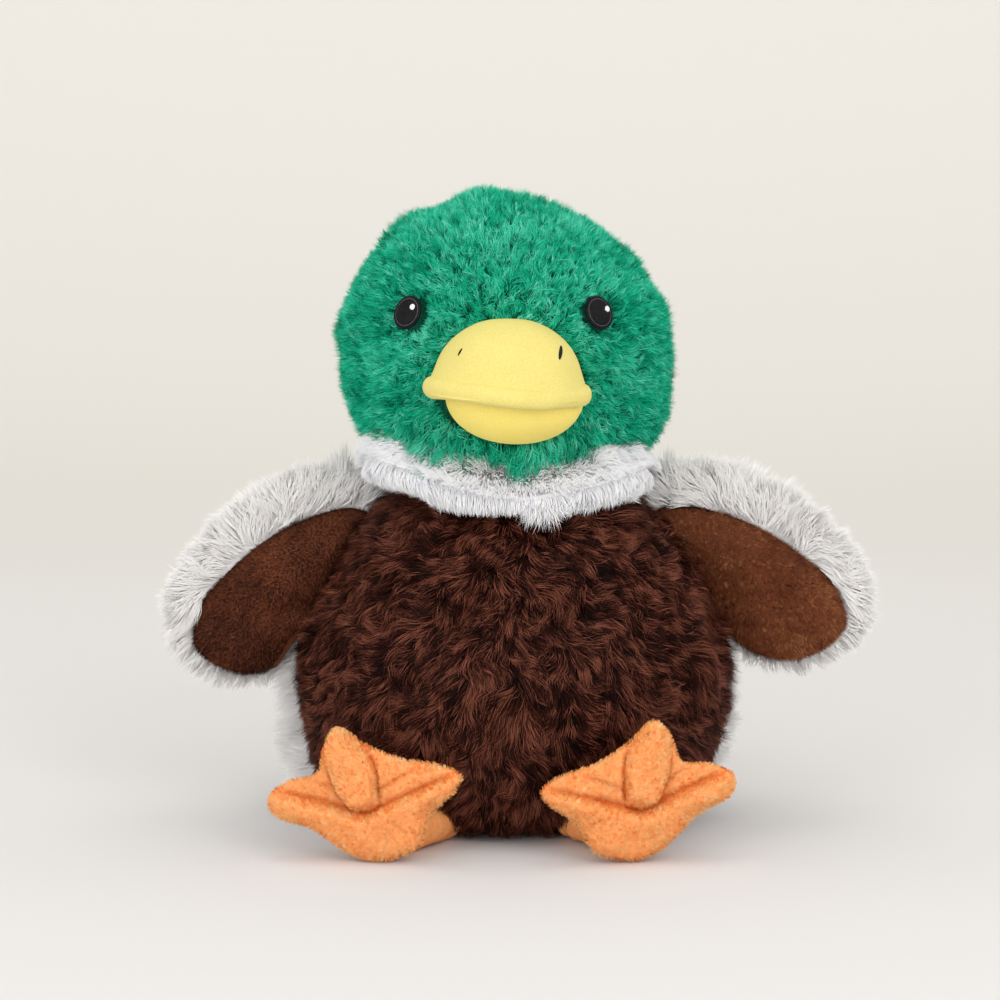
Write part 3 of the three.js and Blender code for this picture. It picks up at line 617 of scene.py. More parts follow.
neck = {
    "sleeve": {"x": 0, "y": 0, "z": 158, "half": 45, "front": 37, "back": 42, "up": 18, "down": 20,
               "upPower": 4, "downPower": 4},
    "collar": {"x": -1, "y": 0, "z": 147, "half": 61.0, "front": 58.5, "back": 58, "up": 14, "down": 11.5,
               "upPower": 2.6, "downPower": 2.6},
    "sideRise": 11.0, "leftRise": 2.6, "backRise": 4, "frontRise": 4.0, "frontShare": 0.6, "backShare": 0.85,
    "middle": 6, "bareRadius": 38, "bareBelow": 136,
    "edge": {"sides": 0.45, "sideAt": 32, "centre": 0.26, "centreAt": 4, "half": 15},
    "tuftAt": 13, "tuftHalf": 5, "tuftHeights": (139, 146), "tuftLengths": (8, 12.5),
    "locks": {"perSquare": 3.2, "length": 8.0, "radius": 0.24, "rings": 3, "lean": (42, 82), "leanSpread": 10,
              "swirl": 34, "swirlSize": 13, "stray": 14, "lock": 12, "pull": 0.35, "curl": 0.5, "turns": 0.5,
              "droop": 0.1, "lockTone": 0.14, "ownTone": 0.12, "bloom": 0.95},
    "brush": {"lean": (14, 52), "lock": 7, "curl": 0.3},
    "loose": {"lean": (40, 88), "leanSpread": 14, "swirl": 22, "lock": 6, "pull": 0.5, "curl": 1.2,
              "radius": 0.2, "uneven": 0.4},
}


def collarLevel(n, x, y, z):  # the ring is low and narrow under the bill, high and broad at the cheeks
    aside = np.minimum(np.abs(x - n["middle"]) / n["collar"]["half"], 1)
    facing = smooth(10, -20, y)
    share = (n["frontShare"] + (1 - n["frontShare"]) * aside ** 1.2) * facing + n["backShare"] * (1 - facing)
    outer = smooth(6, 34, np.hypot(x, y))
    rise = n["sideRise"] * aside ** 1.3 * facing + n["backRise"] * (1 - facing)
    rise = rise + n["leftRise"] * smooth(-10, -50, x)
    rise = rise + n["frontRise"] * facing * smooth(-2, 7, z - n["collar"]["z"])
    return n["collar"]["z"] + (z - n["collar"]["z"]) * share + rise * outer


def neckSkins(n):
    points, faces = eggLattice(n["sleeve"], 64, 20)
    sew(addMesh("neckSleeve", points, faces, finish["white_ground"]), "neck",
        ["neck_filling"])
    points, faces = eggLattice(n["collar"], 96, 28)
    points[:, 2] = collarLevel(n, *points.T)
    sew(addMesh("collarSkin", points, faces, finish["white_ground"]), "torso",
        ["neck_collar"])
    return points, faces


def collarPile(n, points, faces):
    fibre = n["locks"]
    roots, normals = scatter(points, faces, fibre["perSquare"], 21)
    kept = (np.hypot(roots[:, 0], roots[:, 1]) > n["bareRadius"]) & (roots[:, 2] > n["bareBelow"])
    roots, normals = take(kept, roots, normals)
    x, y, z = roots.T
    out = unit(np.column_stack([x, y, 0 * x]))
    top = smooth(-3, 5, z - collarLevel(n, x, y, np.full(len(x), n["collar"]["z"])))
    cheeks = smooth(18, 52, np.abs(x))  # it stands up round the cheeks
    tall = top[:, None]
    combs = out * (0.6 + 0.5 * tall) - up * (1 - tall) + up * tall * (0.4 + cheeks[:, None])
    low = (y < 0) * (1 - top)  # the front's lower edge hangs level: longer at both sides than in the middle
    e = n["edge"]
    level = e["sides"] * hump(np.abs(x - n["middle"]) - e["sideAt"], e["half"])
    level = level - e["centre"] * hump(x - e["centreAt"], e["half"])
    lengths = fibre["length"] * (0.92 + 0.2 * softNoise(roots, 24, 22)) * (1 + low * level)
    facing = normals * 0.6 + np.array([0, -0.6, 0.6]) * (y < 8)[:, None]
    above = top > 0.45
    growPile("collarPile", "torso", "white_pile", *take(~above, roots, normals, combs, lengths), fibre, 23,
             facing=facing[~above])
    facing = normals * 0.25 + np.array([0, -1.0, 0.35]) * (y < 8)[:, None]
    lengths = lengths * (1 + 0.35 * (1 - cheeks))  # the upper pile stands up against the head
    growPile("collarTop", "torso", "white_pile", *take(above, roots, normals, out + 0.2 * up, lengths),
             dict(fibre, **n["brush"]), 24, facing=facing[above])
    low, high = n["tuftHeights"]
    spray = roots[(np.abs(x - n["tuftAt"]) < n["tuftHalf"]) & (y < 0) & (z < high) & (z > low)]
    count = len(spray)
    fan = np.column_stack([(spray[:, 0] - n["tuftAt"]) / n["tuftHalf"], np.full(count, -0.3),
                           np.full(count, -1.0)])
    growPile("collarTuft", "torso", "white_pile", spray, np.tile([0.0, -1.0, 0.1], (count, 1)), fan,
             np.random.default_rng(25).uniform(*n["tuftLengths"], count), dict(fibre, **n["loose"]), 26,
             facing=np.tile([0.0, -1.0, 0.7], (count, 1)))


collarPile(neck, *neckSkins(neck))
stage("neck and collar covered")

head = {
    "form": {"x": -2, "y": 0, "z": 212, "half": 67.0, "front": 53.5, "back": 55.5, "up": 58.0, "down": 53.5,
             "upPower": 1.8, "downPower": 3.3},
    "seam": 8, "sides": 120, "rows": 60, "lump": 1.1, "lumpSize": 60, "crownLean": 8.0,
    "swells": (  # where, how high and how wide
        ((-43, -4, 258), 1.4, (9, 26, 8)),  # the fold at the crown
        ((-10, -2, 271), 2.4, (11, 24, 9)),  # its peak
        ((56, -12, 170), 3.6, (15, 26, 12)),  # a jowl
        ((-10, -38, 168), 7.2, (38, 15, 11)),  # the jaw under the bill
    ),
    "crease": -29, "creaseDepth": 1.7, "creaseHalf": 5, "socketDepth": 1.5, "socketRadius": 13,
    "rearFrom": 26, "rearShare": 0.44, "bareBelow": 163, "bareRadius": 40, "partAt": (0, -62.0, 196.0),
    "chin": {"x": -1, "half": 38, "from": 186, "to": 176, "longer": 0.75, "left": 0.3,
             "point": 0.9, "pointAt": 3, "pointHalf": 6},
    "locks": {"perSquare": 3.75, "length": 9.2, "radius": 0.155, "rings": 3, "lean": (4, 54),
              "leanSpread": 17, "swirl": 80, "swirlSize": 8, "stray": 26, "lock": 8, "pull": 0.52,
              "curl": 1.1, "turns": 0.9, "droop": 0.0, "lockTone": 0.18, "ownTone": 0.11},
}

# The head's pile leaves room for the bill and the eyes, so their sizes come first
bill = {
    "x": 0, "y": -56.6, "z": 192, "half": 32, "front": 36.4, "up": 31.6, "down": 21.0, "upPower": 2.25,
    "back": 16, "domeDown": 12, "domeShift": -1.3, "tilt": 2.0, "flare": 3.3, "runOut": 13, "lump": 0.35,
    "bowlShift": 1.8, "bowlIn": 2.6, "bowlBack": 7.5, "bowlUp": 10, "bowlPower": 2.1, "bowlDrop": 0.5,
    "lip": 4.1, "lipOut": 0.4, "lipShift": -1.4, "lipRise": 1.2, "lipLump": 0.25,
    "lipWave": ((-36, 0.8), (-26, 1.6), (-12, 1.3), (0, 0.2), (12, -0.6), (26, -0.4), (35, 0.6)),
    "nostrils": {-1: {"x": -21.6, "z": 210.6, "length": 3.6, "width": 1.1, "slant": 0.5},
                 1: {"x": 20.0, "z": 211.6, "length": 5.4, "width": 2.0, "slant": 0.12}},
}
eyes = {
    "spacing": 82, "height": 226, "offset": -3, "width": 13.0, "length": 15, "lean": 25, "depth": 1.2,
    "tips": {"x": -2, "y": 0, "z": 212, "half": 74.5, "front": 60, "up": 64.5, "down": 62, "upPower": 1.84,
             "downPower": 3.3},  # the face at the pile's tips
    "rings": 44, "steps": 132, "crown": 2.0, "below": 1.4, "rowGap": 0.62, "stitchRise": 0.09,
    "ringStitches": 46, "threadAt": 0.79, "threadWidth": 0.028, "threadRise": 0.86, "threadHeight": 0.16,
    "dotAt": (3.0, 1.6), "dotRise": 1.27,
    "rowsTo": 0.78, "ringTo": 0.985, "groove": {"at": 0.8, "width": 0.05, "depth": 0.45},
    "dot": {"x": 0, "y": 0, "z": 0, "half": 1.45, "front": 1.6, "back": 1.6, "up": 0.9, "down": 0.9,
            "upPower": 2, "downPower": 2},
}


def eggFront(form, x, z):  # y of a form's front at x and z
    above = np.asarray(z) > form["z"]
    size = np.where(above, form["up"], form["down"])
    power = np.where(above, form["upPower"], form["downPower"])
    rise = np.minimum(np.abs(z - form["z"]) / size, 1)
    reach = (1 - rise ** power) ** (1 / power)
    across = np.minimum(np.abs(x - form["x"]) / np.maximum(form["half"] * reach, 1e-6), 1)
    return form["y"] - form["front"] * reach * np.sqrt(1 - across ** 2)


def eyePlace(side):  # the frame of the face at an eye
    def at(x, z):
        return np.array([x, float(eggFront(eyes["tips"], x, z)), z])

    x, z = eyes["offset"] + eyes["spacing"] / 2 * side, eyes["height"]
    here = at(x, z)
    across, upward = at(x + 2, z) - here, at(x, z + 2) - here
    outward = unit(np.cross(across, upward))
    upright = unit(upward - outward * (upward @ outward))
    return here, np.cross(upright, outward), upright, outward


def headSkins(h):
    points, faces = eggLattice(h["form"], h["sides"], h["rows"])
    points[:, 0] -= h["crownLean"] * np.clip((points[:, 2] - h["form"]["z"]) / h["form"]["up"], 0, 1) ** 3
    normals = pointNormals(points, triangles(faces))
    swell = sum(np.exp(-(((points - np.array(place)) / size) ** 2).sum(1)) * rise
                for place, rise, size in h["swells"])
    crease = h["creaseDepth"] * hump(points[:, 0] - h["crease"], h["creaseHalf"])
    crease = crease * smooth(242, 258, points[:, 2])
    lump = h["lump"] * softNoise(points, h["lumpSize"], 31)
    points = points + normals * (lump + swell - crease)[:, None]
    for side in (-1, 1):  # the face dips a little round each stitched eye
        here, _, _, outward = eyePlace(side)
        away = np.linalg.norm(points - here, axis=1)
        points = points - outward * (h["socketDepth"] * hump(away, h["socketRadius"]))[:, None]
    sewCovers("head", points, faces, "head", h["seam"], (("green_pile", "green_ground"),) * 2)
    return points, faces


def billShare(x, z, inset=0):  # 1 on the bill's outline, less inside it
    height = np.where(z > bill["z"], bill["up"], bill["down"]) - inset
    return np.sqrt(((x - bill["x"]) / (bill["half"] - inset)) ** 2 + ((z - bill["z"]) / height) ** 2)


def eyeShare(roots, side):  # 1 on the stitched eye's outline, less inside it
    here, across, upright, outward = eyePlace(side)
    gone = roots - here
    lean = math.radians(eyes["lean"]) * side
    u = gone @ across * math.cos(lean) + gone @ upright * math.sin(lean)
    v = -gone @ across * math.sin(lean) + gone @ upright * math.cos(lean)
    share = np.sqrt((u / (eyes["width"] / 2)) ** 2 + (v / (eyes["length"] / 2)) ** 2)
    return share + (gone @ outward < -20) * 9  # the back of the head is far away


def headPile(h, points, faces):
    fibre = h["locks"]
    roots, normals = scatter(points, faces, fibre["perSquare"], 32)
    x, y, z = roots.T
    kept = ~((z < h["bareBelow"]) & (np.hypot(x, y) < h["bareRadius"]))
    kept &= np.random.default_rng(36).random(len(x)) < np.where(y < h["rearFrom"], 1.0, h["rearShare"])
    kept &= (billShare(x, z, 1) >= 1) | (y >= 0)
    short = np.ones(len(x))
    for side in (-1, 1):
        near = eyeShare(roots, side)
        kept &= near > 1.0
        short *= 0.55 + 0.45 * smooth(1.0, 1.75, near)
    roots, normals, short = take(kept, roots, normals, short)
    x, y, z = roots.T
    nearBill = smooth(1.45, 1.0, billShare(x, z)) * (y < -20)
    combs = unit(roots - np.array(h["partAt"])) - 0.1 * up  # it parts from a point inside the bill
    for side in (-1, 1):  # and round the eyes
        gone = roots - eyePlace(side)[0]
        combs = combs + unit(gone) * (1.6 * hump(np.linalg.norm(gone, axis=1), h["socketRadius"]))[:, None]
    c = h["chin"]  # the pile that hangs to a point under the bill
    chin = np.exp(-((x - c["x"]) / c["half"]) ** 4) * smooth(c["from"], c["to"], z) * (y < -25)
    lengths = fibre["length"] * (0.94 + 0.16 * softNoise(roots, 26, 33)) * short * (1 - 0.25 * nearBill)
    longer = (c["longer"] + c["left"] * smooth(0, -26, x)) * chin
    lengths = lengths * (1 + longer + c["point"] * chin * hump(x - c["pointAt"], c["pointHalf"]))
    combs = combs * (1 - 0.8 * chin[:, None]) + np.array([0, -3.4, -3.6]) * chin[:, None]
    # the pile is painted darker towards the head's sides: painted shade where the round head turns away from
    # the light
    growPile("headPile", "head", "green_pile", roots, normals, combs, lengths, fibre, 34,
             0.08 * softNoise(roots, 24, 35) - 0.09 * smooth(34, 56, np.abs(x)))


headPile(head, *headSkins(head))
stage("head covered")


def tilted(points):  # the bill's right end hangs a little lower
    turn = math.radians(bill["tilt"])
    x, z = points[:, 0] - bill["x"], points[:, 2] - bill["z"]
    return np.column_stack([bill["x"] + x * math.cos(turn) + z * math.sin(turn), points[:, 1],
                            bill["z"] - x * math.sin(turn) + z * math.cos(turn)])


def sewBill(name, points, faces, level, above, slot, node):
    skin = cutSkin(name, points, faces, (0, 0, level), (0, 0, 1), above, finish[slot])
    flat = np.empty(len(skin.data.vertices) * 3, np.float32)
    skin.data.vertices.foreach_get("co", flat)
    setRows(skin.data.vertices, "co", tilted(flat.reshape(-1, 3).astype(float) / mm) * mm)
    skin.data.update()
    sew(skin, "head", [node])


def billSkins(b):
    upper = {"x": b["x"] + b["domeShift"], "y": b["y"], "z": b["z"], "half": b["half"], "front": b["front"],
             "back": b["back"], "up": b["up"], "down": b["domeDown"], "upPower": b["upPower"], "downPower": 2}
    points, faces = eggLattice(upper, 120, 72)
    low = np.clip(1 - (points[:, 2] - b["z"]) / b["runOut"], 0, 1.2) ** 2 * (points[:, 1] < b["y"])
    out = unit((points - np.array([0, b["y"], 0])) * (1, 1, 0))
    points = points + out * (b["flare"] * low)[:, None]  # the dome runs out into the lip
    lump = b["lump"] * softNoise(points, 26, 41)
    points = points + pointNormals(points, triangles(faces)) * lump[:, None]
    sewBill("billUpperSkin", points, faces, b["z"], True, "yellow_velboa", "bill_upper")
    lower = dict(upper, x=b["bowlShift"], half=b["half"] - b["bowlIn"], front=b["front"] - b["bowlBack"],
                 down=b["down"], up=b["bowlUp"], downPower=b["bowlPower"])
    points, faces = eggLattice(lower, 120, 72)
    sewBill("billLowerSkin", points, faces, b["z"] - b["bowlDrop"], False, "dark_yellow_velboa", "bill_lower")


def billLip(b):
    steps, over = 90, 0.16
    sweep = np.linspace(math.pi + over, -over, steps)
    x = (b["half"] - b["lipOut"]) * np.cos(sweep) + b["lipShift"]
    y = b["y"] - (b["front"] + b["lipOut"]) * np.sin(sweep)
    z = b["z"] + b["lipRise"] + np.interp(x, *zip(*b["lipWave"]))
    ends = np.minimum(np.arange(steps), np.arange(steps)[::-1])
    radii = b["lip"] * (1 + 0.04 * np.sin(sweep * 5)) * (1 + 0.1 * hump(ends - 9, 6))
    radii = radii * np.sqrt(np.clip(1 - (1 - np.minimum(ends / 7, 1)) ** 2, 0.02, 1))
    points, faces = ringTube(np.column_stack([x, y, z]), radii, 28, 0.92)
    out = unit(points - np.array([0, -50, b["z"]]))
    points = points + b["lipLump"] * softNoise(points, 12, 42)[:, None] * out
    sew(addMesh("billLipSkin", tilted(points), faces, finish["yellow_velboa"]), "head",
        ["bill_lip"])


billSkins(bill)
billLip(bill)


def oval(e, share, angle):
    return e["width"] / 2 * share * math.cos(angle), e["length"] / 2 * share * math.sin(angle)


def eyePatch(e):  # satin stitch: rows inside, short stitches in a ring round them
    rings, steps = e["rings"], e["steps"]
    grid, faces = [], []
    for ring in range(rings + 1):
        s = ring / rings
        for step in range(steps):
            angle = 2 * math.pi * step / steps
            u, v = oval(e, s, angle)
            groove = math.exp(-((s - e["groove"]["at"]) / e["groove"]["width"]) ** 2)
            lift = e["crown"] * math.sqrt(max(1 - s ** 2.6, 0)) - e["groove"]["depth"] * groove
            if s < e["rowsTo"]:
                lift += e["stitchRise"] * math.sin(2 * math.pi * u / e["rowGap"])
            elif s < e["ringTo"]:
                lift += e["stitchRise"] * math.sin(angle * e["ringStitches"])
            grid.append((u, v, lift - e["depth"]))
    for ring in range(rings):
        for step in range(steps):
            after = (step + 1) % steps
            faces.append((ring * steps + step, (ring + 1) * steps + step, (ring + 1) * steps + after,
                          ring * steps + after))
    rim = rings * steps
    faces.extend((rim + step, len(grid), rim + (step + 1) % steps) for step in range(steps))
    grid.append((0, 0, -e["depth"] - e["below"]))
    return np.array(grid), faces


def eyeThread(e, steps=80, corners=6):  # a grey thread between the two
    grid, faces = [], []
    for step in range(steps):
        angle = 2 * math.pi * step / steps
        after = (step + 1) % steps
        for corner in range(corners):
            around = 2 * math.pi * corner / corners
            beside = (corner + 1) % corners
            lift = e["threadRise"] + e["threadHeight"] * math.sin(around) + 0.05 * math.sin(angle * 30)
            share = e["threadAt"] + e["threadWidth"] * math.cos(around)
            grid.append((*oval(e, share, angle), lift - e["depth"]))
            faces.append((step * corners + corner, after * corners + corner, after * corners + beside,
                          step * corners + beside))
    return np.array(grid), faces


def eyeDot(e):
    grid, faces = eggLattice(e["dot"], 28, 14)
    grid = grid + np.array([*e["dotAt"], e["dotRise"] - e["depth"]])
    grid[:, 2] += 0.06 * np.sin(grid[:, 0] * 2 * math.pi / 0.5)
    return grid, faces


def eyeStitches(e):
    for side, name in pair:
        here, across, upright, outward = eyePlace(side)
        lean = math.radians(e["lean"]) * side

        def place(piece, grid, faces, slot):
            points = here + grid[:, :1] * across + grid[:, 1:2] * upright + grid[:, 2:] * outward
            return addMesh(f"eye{piece}{name.title()}", points, faces, finish[slot])

        def turned(grid, faces):
            u, v = grid[:, 0], grid[:, 1]
            return np.column_stack([u * math.cos(lean) - v * math.sin(lean),
                                    u * math.sin(lean) + v * math.cos(lean), grid[:, 2]]), faces

        sew(place("Stitch", *turned(*eyePatch(e)), "black_thread"), "head", [f"eye_{name}"])
        sew(place("Ring", *turned(*eyeThread(e)), "grey_thread"), "head", [])
        sew(place("Dot", *eyeDot(e), "white_thread"), "head", [f"eye_highlight_{name}"])


eyeStitches(eyes)


def nostrils(b):
    steps, corners = 24, 12
    for side, name in pair:
        slit = b["nostrils"][side]
        x, z, slant = slit["x"], slit["z"], slit["slant"]
        path = []
        for s in np.linspace(-1, 1, steps) * slit["length"] / 2:
            u, v = x + s * math.sin(slant), z + s * math.cos(slant)
            rise = min((v - b["z"]) / b["up"], 0.99)
            reach = (1 - rise ** b["upPower"]) ** (1 / b["upPower"])
            aside = (u - b["domeShift"]) / (b["half"] * reach)
            path.append((u, b["y"] - b["front"] * reach * math.sqrt(max(1 - aside ** 2, 0)) - 0.1, v))
        path = tilted(np.array(path))
        taper = np.sqrt(np.clip(1 - np.abs(np.linspace(-1, 1, steps)) ** 1.6, 0.001, 1))
        outward = unit(np.array([x * 0.9, -42.0, z - b["z"] + 4]))
        across = unit(np.cross(outward, np.array([math.sin(slant), 0, math.cos(slant)])))
        points = []
        for at in range(steps):
            for corner in range(corners):
                angle = 2 * math.pi * corner / corners
                out = across * slit["width"] / 2 * math.cos(angle) + outward * 0.45 * math.sin(angle)
                points.append(path[at] + taper[at] * out)
        faces = tubeFaces(steps, corners)
        faces.append(tuple(range(corners))[::-1])
        faces.append(tuple((steps - 1) * corners + corner for corner in range(corners)))
        thread = addMesh(f"nostrilThread{name.title()}", points, faces, finish["black_thread"])
        sew(thread, "head", [f"nostril_stitch_{name}"])


nostrils(bill)
stage("bill, eyes and nostrils sewn")

wings = {
    "spans": {-1: 86, 1: 89}, "drop": 68, "shoulder": (60, 136), "seam": 6, "centre": (0.6, -0.5),
    "rollLeft": 6,
    "front": [(0.11, 0.01), (0.29, -0.01), (0.54, -0.12), (0.79, -0.33), (0.945, -0.53), (1, -0.755),
              (0.96, -0.853), (0.876, -0.94), (0.72, -1), (0.56, -0.963), (0.46, -0.88), (0.33, -0.7),
              (0.13, -0.3), (0.02, -0.06)],
    "fur": [(0.08, 0.12), (0.3, 0.15), (0.55, 0.05), (0.8, -0.15), (0.965, -0.37), (1.03, -0.6),
            (1.02, -0.77), (0.97, -0.88), (0.88, -0.955), (0.72, -1.0), (0.56, -0.955), (0.46, -0.87),
            (0.33, -0.69), (0.13, -0.29), (0.02, -0.03)],
    "rootPoint": (80.2, 113.4), "rootOut": (0.8267, 0.5626), "rootReach": 8, "napRoot": -6, "furRoot": -7,
    "hidden": {"half": 112, "z": 62, "up": 90},  # what the body covers
    "reach": {"base": 0.42, "upward": 0.5, "top": 0.22, "inward": 0.35, "least": 0.12, "most": 1.3},
    "swell": 10.2, "puff": 6.5, "hollow": 0.6, "lump": 0.8, "furLump": 0.6, "lumpSize": 34,
    "tuckAt": (0.42, -0.6), "tuckSize": (13, 6), "tuckDepth": 3.2,  # where the front is sewn down
    "forward": 0.4, "backward": 1.4, "fringes": 12000, "fringeDepth": 7, "fringeThickness": 4.2,
    # tones: the left wing's nap is painted darker and the right one's a little lighter, painted shade and
    # painted light for the light that falls more on the right
    "tones": {-1: -0.48, 1: 0.06}, "crests": {-1: 0.45, 1: 0.1}, "crestAt": 66,
    "nap": {"perSquare": 4.3, "length": 2.1, "radius": 0.1, "rings": 2, "lean": (16, 52), "leanSpread": 12,
            "swirl": 40, "swirlSize": 6, "stray": 18, "lock": 6, "pull": 0.5, "curl": 0.08, "turns": 0.3,
            "sink": 0.2, "lockTone": 0.13, "ownTone": 0.06, "bloom": 0.75},
    "locks": {"perSquare": 2.4, "length": 15.5, "radius": 0.21, "rings": 3, "lean": (34, 78),
              "leanSpread": 12, "swirl": 34, "swirlSize": 14, "stray": 10, "lock": 12, "pull": 0.5,
              "curl": 1.0, "turns": 0.7, "droop": 0.06, "lockTone": 0.14, "ownTone": 0.12, "bloom": 0.9},
    "fringe": {"length": 16, "rings": 4, "lean": (4, 30), "leanSpread": 10, "swirl": 14, "swirlSize": 20,
               "sink": 0.0, "lock": 20, "radius": 0.17, "curl": 0.5},
}


def wingPlace(w, side):  # from the wing's own flat sheet to the toy and back, and the middle of the sheet
    roll = math.radians(w["rollLeft"] if side < 0 else 0)
    cos, sin = math.cos(roll), math.sin(roll)
    shoulder = w["shoulder"][0] * side, w["shoulder"][1]

    def place(points):
        x, z, out = points.T
        across, height = x * cos - z * sin + shoulder[0], x * sin + z * cos + shoulder[1]
        return np.column_stack([across, w["seam"] - out, height])

    def unplace(points):
        x, z = points[:, 0] - shoulder[0], points[:, 2] - shoulder[1]
        return np.column_stack([x * cos + z * sin, z * cos - x * sin])

    return place, unplace, np.array([w["centre"][0] * w["spans"][side] * side, w["centre"][1] * w["drop"]])


def wingOutline(w, side, key, count=200):
    return closedCurve(w[key], w["spans"][side], w["drop"], side, count)


def rootAway(w, side, rows):  # how far past the seam at the wing's root
    root = np.array([w["rootPoint"][0] * side, w["rootPoint"][1]])
    return (rows[:, [0, 2]] - root) @ np.array([w["rootOut"][0] * side, w["rootOut"][1]])


def nearBody(w, rows):
    hidden = w["hidden"]
    return (rows[:, 0] / hidden["half"]) ** 2 + ((rows[:, 2] - hidden["z"]) / hidden["up"]) ** 2 < 1


def sewWing(w, side, name, title, points, faces, ground, face):  # cut off where the root's bead begins
    out = Vector((w["rootOut"][0] * side, 0, w["rootOut"][1]))
    root = Vector((w["rootPoint"][0] * side, 0, w["rootPoint"][1])) - out * w["rootReach"]
    skin = cutSkin(f"wing{name.title()}{title}", points, faces, root, out, True, finish[ground])
    sew(skin, f"wing_{name}", [f"wing_{name}_{face}_panel"])


def wingFront(w, side, name, seed):
    place, _, centre = wingPlace(w, side)
    tuckAt = np.array([w["tuckAt"][0] * w["spans"][side] * side, w["tuckAt"][1] * w["drop"]])

    def front(flat, s):
        tuck = (1 - s ** 3) * w["tuckDepth"] * np.exp(-(((flat - tuckAt) / w["tuckSize"]) ** 2).sum(1))
        lump = (1 - s ** 4) * w["lump"] * flatNoise(flat, w["lumpSize"], seed)
        return w["swell"] * (1 - s ** 2.4) ** 0.6 + lump - tuck

    def back(flat, s):
        return -w["hollow"] * (1 - s ** 4)

    points, faces = pillow(wingOutline(w, side, "front"), centre, 36, front, back)
    points = place(points)
    points[:, 1] -= w["forward"]
    sewWing(w, side, name, "Minky", points, faces, "brown_ground", "front")
    fibre = w["nap"]
    roots, normals = scatter(points, faces, fibre["perSquare"], seed + 1)
    kept = (roots[:, 1] < w["seam"] - 0.3) & (rootAway(w, side, roots) > w["napRoot"])
    roots, normals = take(kept, roots, normals)
    combs = np.tile([0.6 * side, 0.0, -0.8], (len(roots), 1))
    lengths = fibre["length"] * (1 + 0.15 * softNoise(roots, 20, seed))
    # painted shade and light for each side from tones, and random tone from the noise
    shades = w["tones"][side] + 0.16 * softNoise(roots, 30, seed + 3) + 0.09 * softNoise(roots, 8, seed + 3)
    growPile(f"wing{name.title()}Nap", f"wing_{name}", "brown_minky", roots, normals, combs, lengths, fibre,
             seed + 2, shades)


def furReach(w, ways, side):  # the grey pile is longest over the top of the wing
    r = w["reach"]
    inward = r["inward"] * smooth(0.0, -0.8, ways[:, 0] * side) * smooth(0.3, -0.5, ways[:, 2])
    upward = r["upward"] * smooth(-0.9, 0.1, ways[:, 2]) + r["top"] * smooth(0.3, 1, ways[:, 2])
    return np.clip(r["base"] + upward - inward, r["least"], r["most"])


def wingBack(w, side, name, seed):
    place, unplace, centre = wingPlace(w, side)

    def rear(flat, s):
        return 0.4 * (1 - s ** 4)

    def puff(flat, s):
        lump = (1 - s ** 4) * w["furLump"] * flatNoise(flat, w["lumpSize"], seed + 4)
        return -w["puff"] * (1 - s ** 2.6) ** 0.6 + lump

    points, faces = pillow(wingOutline(w, side, "fur"), centre, 30, rear, puff)
    points = place(points)
    points[:, 1] += w["backward"]
    sewWing(w, side, name, "FurBack", points, faces, "grey_ground", "back")
    fibre = w["locks"]
    roots, normals = scatter(points, faces, fibre["perSquare"], seed + 5)
    flat = unplace(roots) - centre
    edge = wingOutline(w, side, "front", 400) - centre
    bearing = np.arctan2(edge[:, 1], edge[:, 0])
    order = np.argsort(bearing)
    far = np.interp(np.arctan2(flat[:, 1], flat[:, 0]), bearing[order], np.linalg.norm(edge, axis=1)[order],
                    period=2 * math.pi)
    bare = np.linalg.norm(flat, axis=1) - far  # how far past the front panel's edge
    shown = (normals[:, 1] > 0.05) | ((bare > 0.4) & ~nearBody(w, roots))
    kept = (rootAway(w, side, roots) > w["furRoot"]) & shown
    roots, normals = take(kept, roots, normals)
    away = unit(roots - place(np.array([[*centre, 0.0]]))[0])
    reach = 0.5 + 0.5 * furReach(w, away, side)
    lengths = fibre["length"] * reach * (1 + 0.12 * softNoise(roots, 24, seed))
    facing = np.where(normals[:, 1:2] < 0.05, normals + np.array([0, -1, 0.6]), normals)
    growPile(f"wing{name.title()}Pile", f"wing_{name}", "grey_pile", roots, normals, away - 0.12 * up,
             lengths, fibre, seed + 7, 0.1 * softNoise(roots, 22, seed + 8), facing)


def wingFringe(w, side, name, seed):  # the long pile that stands out all round the back panel's edge
    place, _, centre = wingPlace(w, side)
    outline = wingOutline(w, side, "fur")
    rim = place(np.column_stack([outline, np.zeros(len(outline))]))
    after = np.roll(rim, -1, 0)
    rimOut = np.cross(after - np.roll(rim, 1, 0), np.array([0, -1.0, 0]))
    rimOut = unit(rimOut * np.sign((rimOut * (rim - place(np.array([[*centre, 0.0]]))[0])).sum(1))[:, None])
    rng = np.random.default_rng(seed + 6)
    count = int(w["fringes"] * growth)
    at = rng.integers(0, len(rim), count)
    roots = rim[at] + (after[at] - rim[at]) * rng.random((count, 1))
    roots = roots - rimOut[at] * rng.uniform(0, w["fringeDepth"], (count, 1))
    roots[:, 1] = w["seam"] + 0.6 + rng.uniform(0.0, w["fringeThickness"], count)
    normals = unit(rimOut[at] + np.array([0, 0.22, 0]) + 0.06 * rng.normal(size=(count, 3)))
    kept = (rootAway(w, side, roots) > w["furRoot"]) & ~nearBody(w, roots)
    roots, normals, flat = take(kept, roots, normals, rimOut[at])
    fibre = dict(w["locks"], **w["fringe"])
    crest = w["crests"][side] * hump(roots[:, 0] / side - w["crestAt"], 14) * smooth(0.3, 0.9, flat[:, 2])
    reach = furReach(w, flat, side) + crest
    lengths = fibre["length"] * reach * (1 + 0.14 * softNoise(roots, 14, seed + 9))
    growPile(f"wing{name.title()}Fringe", f"wing_{name}", "grey_pile", roots, normals,
             np.tile([0.2 * side, 0.3, -0.6], (len(roots), 1)), lengths, fibre, seed + 10,
             0.1 * softNoise(roots, 22, seed + 8), flat * 0.4 + np.array([0, -1, 0.6]))


for (side, name), seed in zip(pair, (50, 60)):
    wingFront(wings, side, name, seed)
    wingBack(wings, side, name, seed)
    wingFringe(wings, side, name, seed)
stage("wings covered")

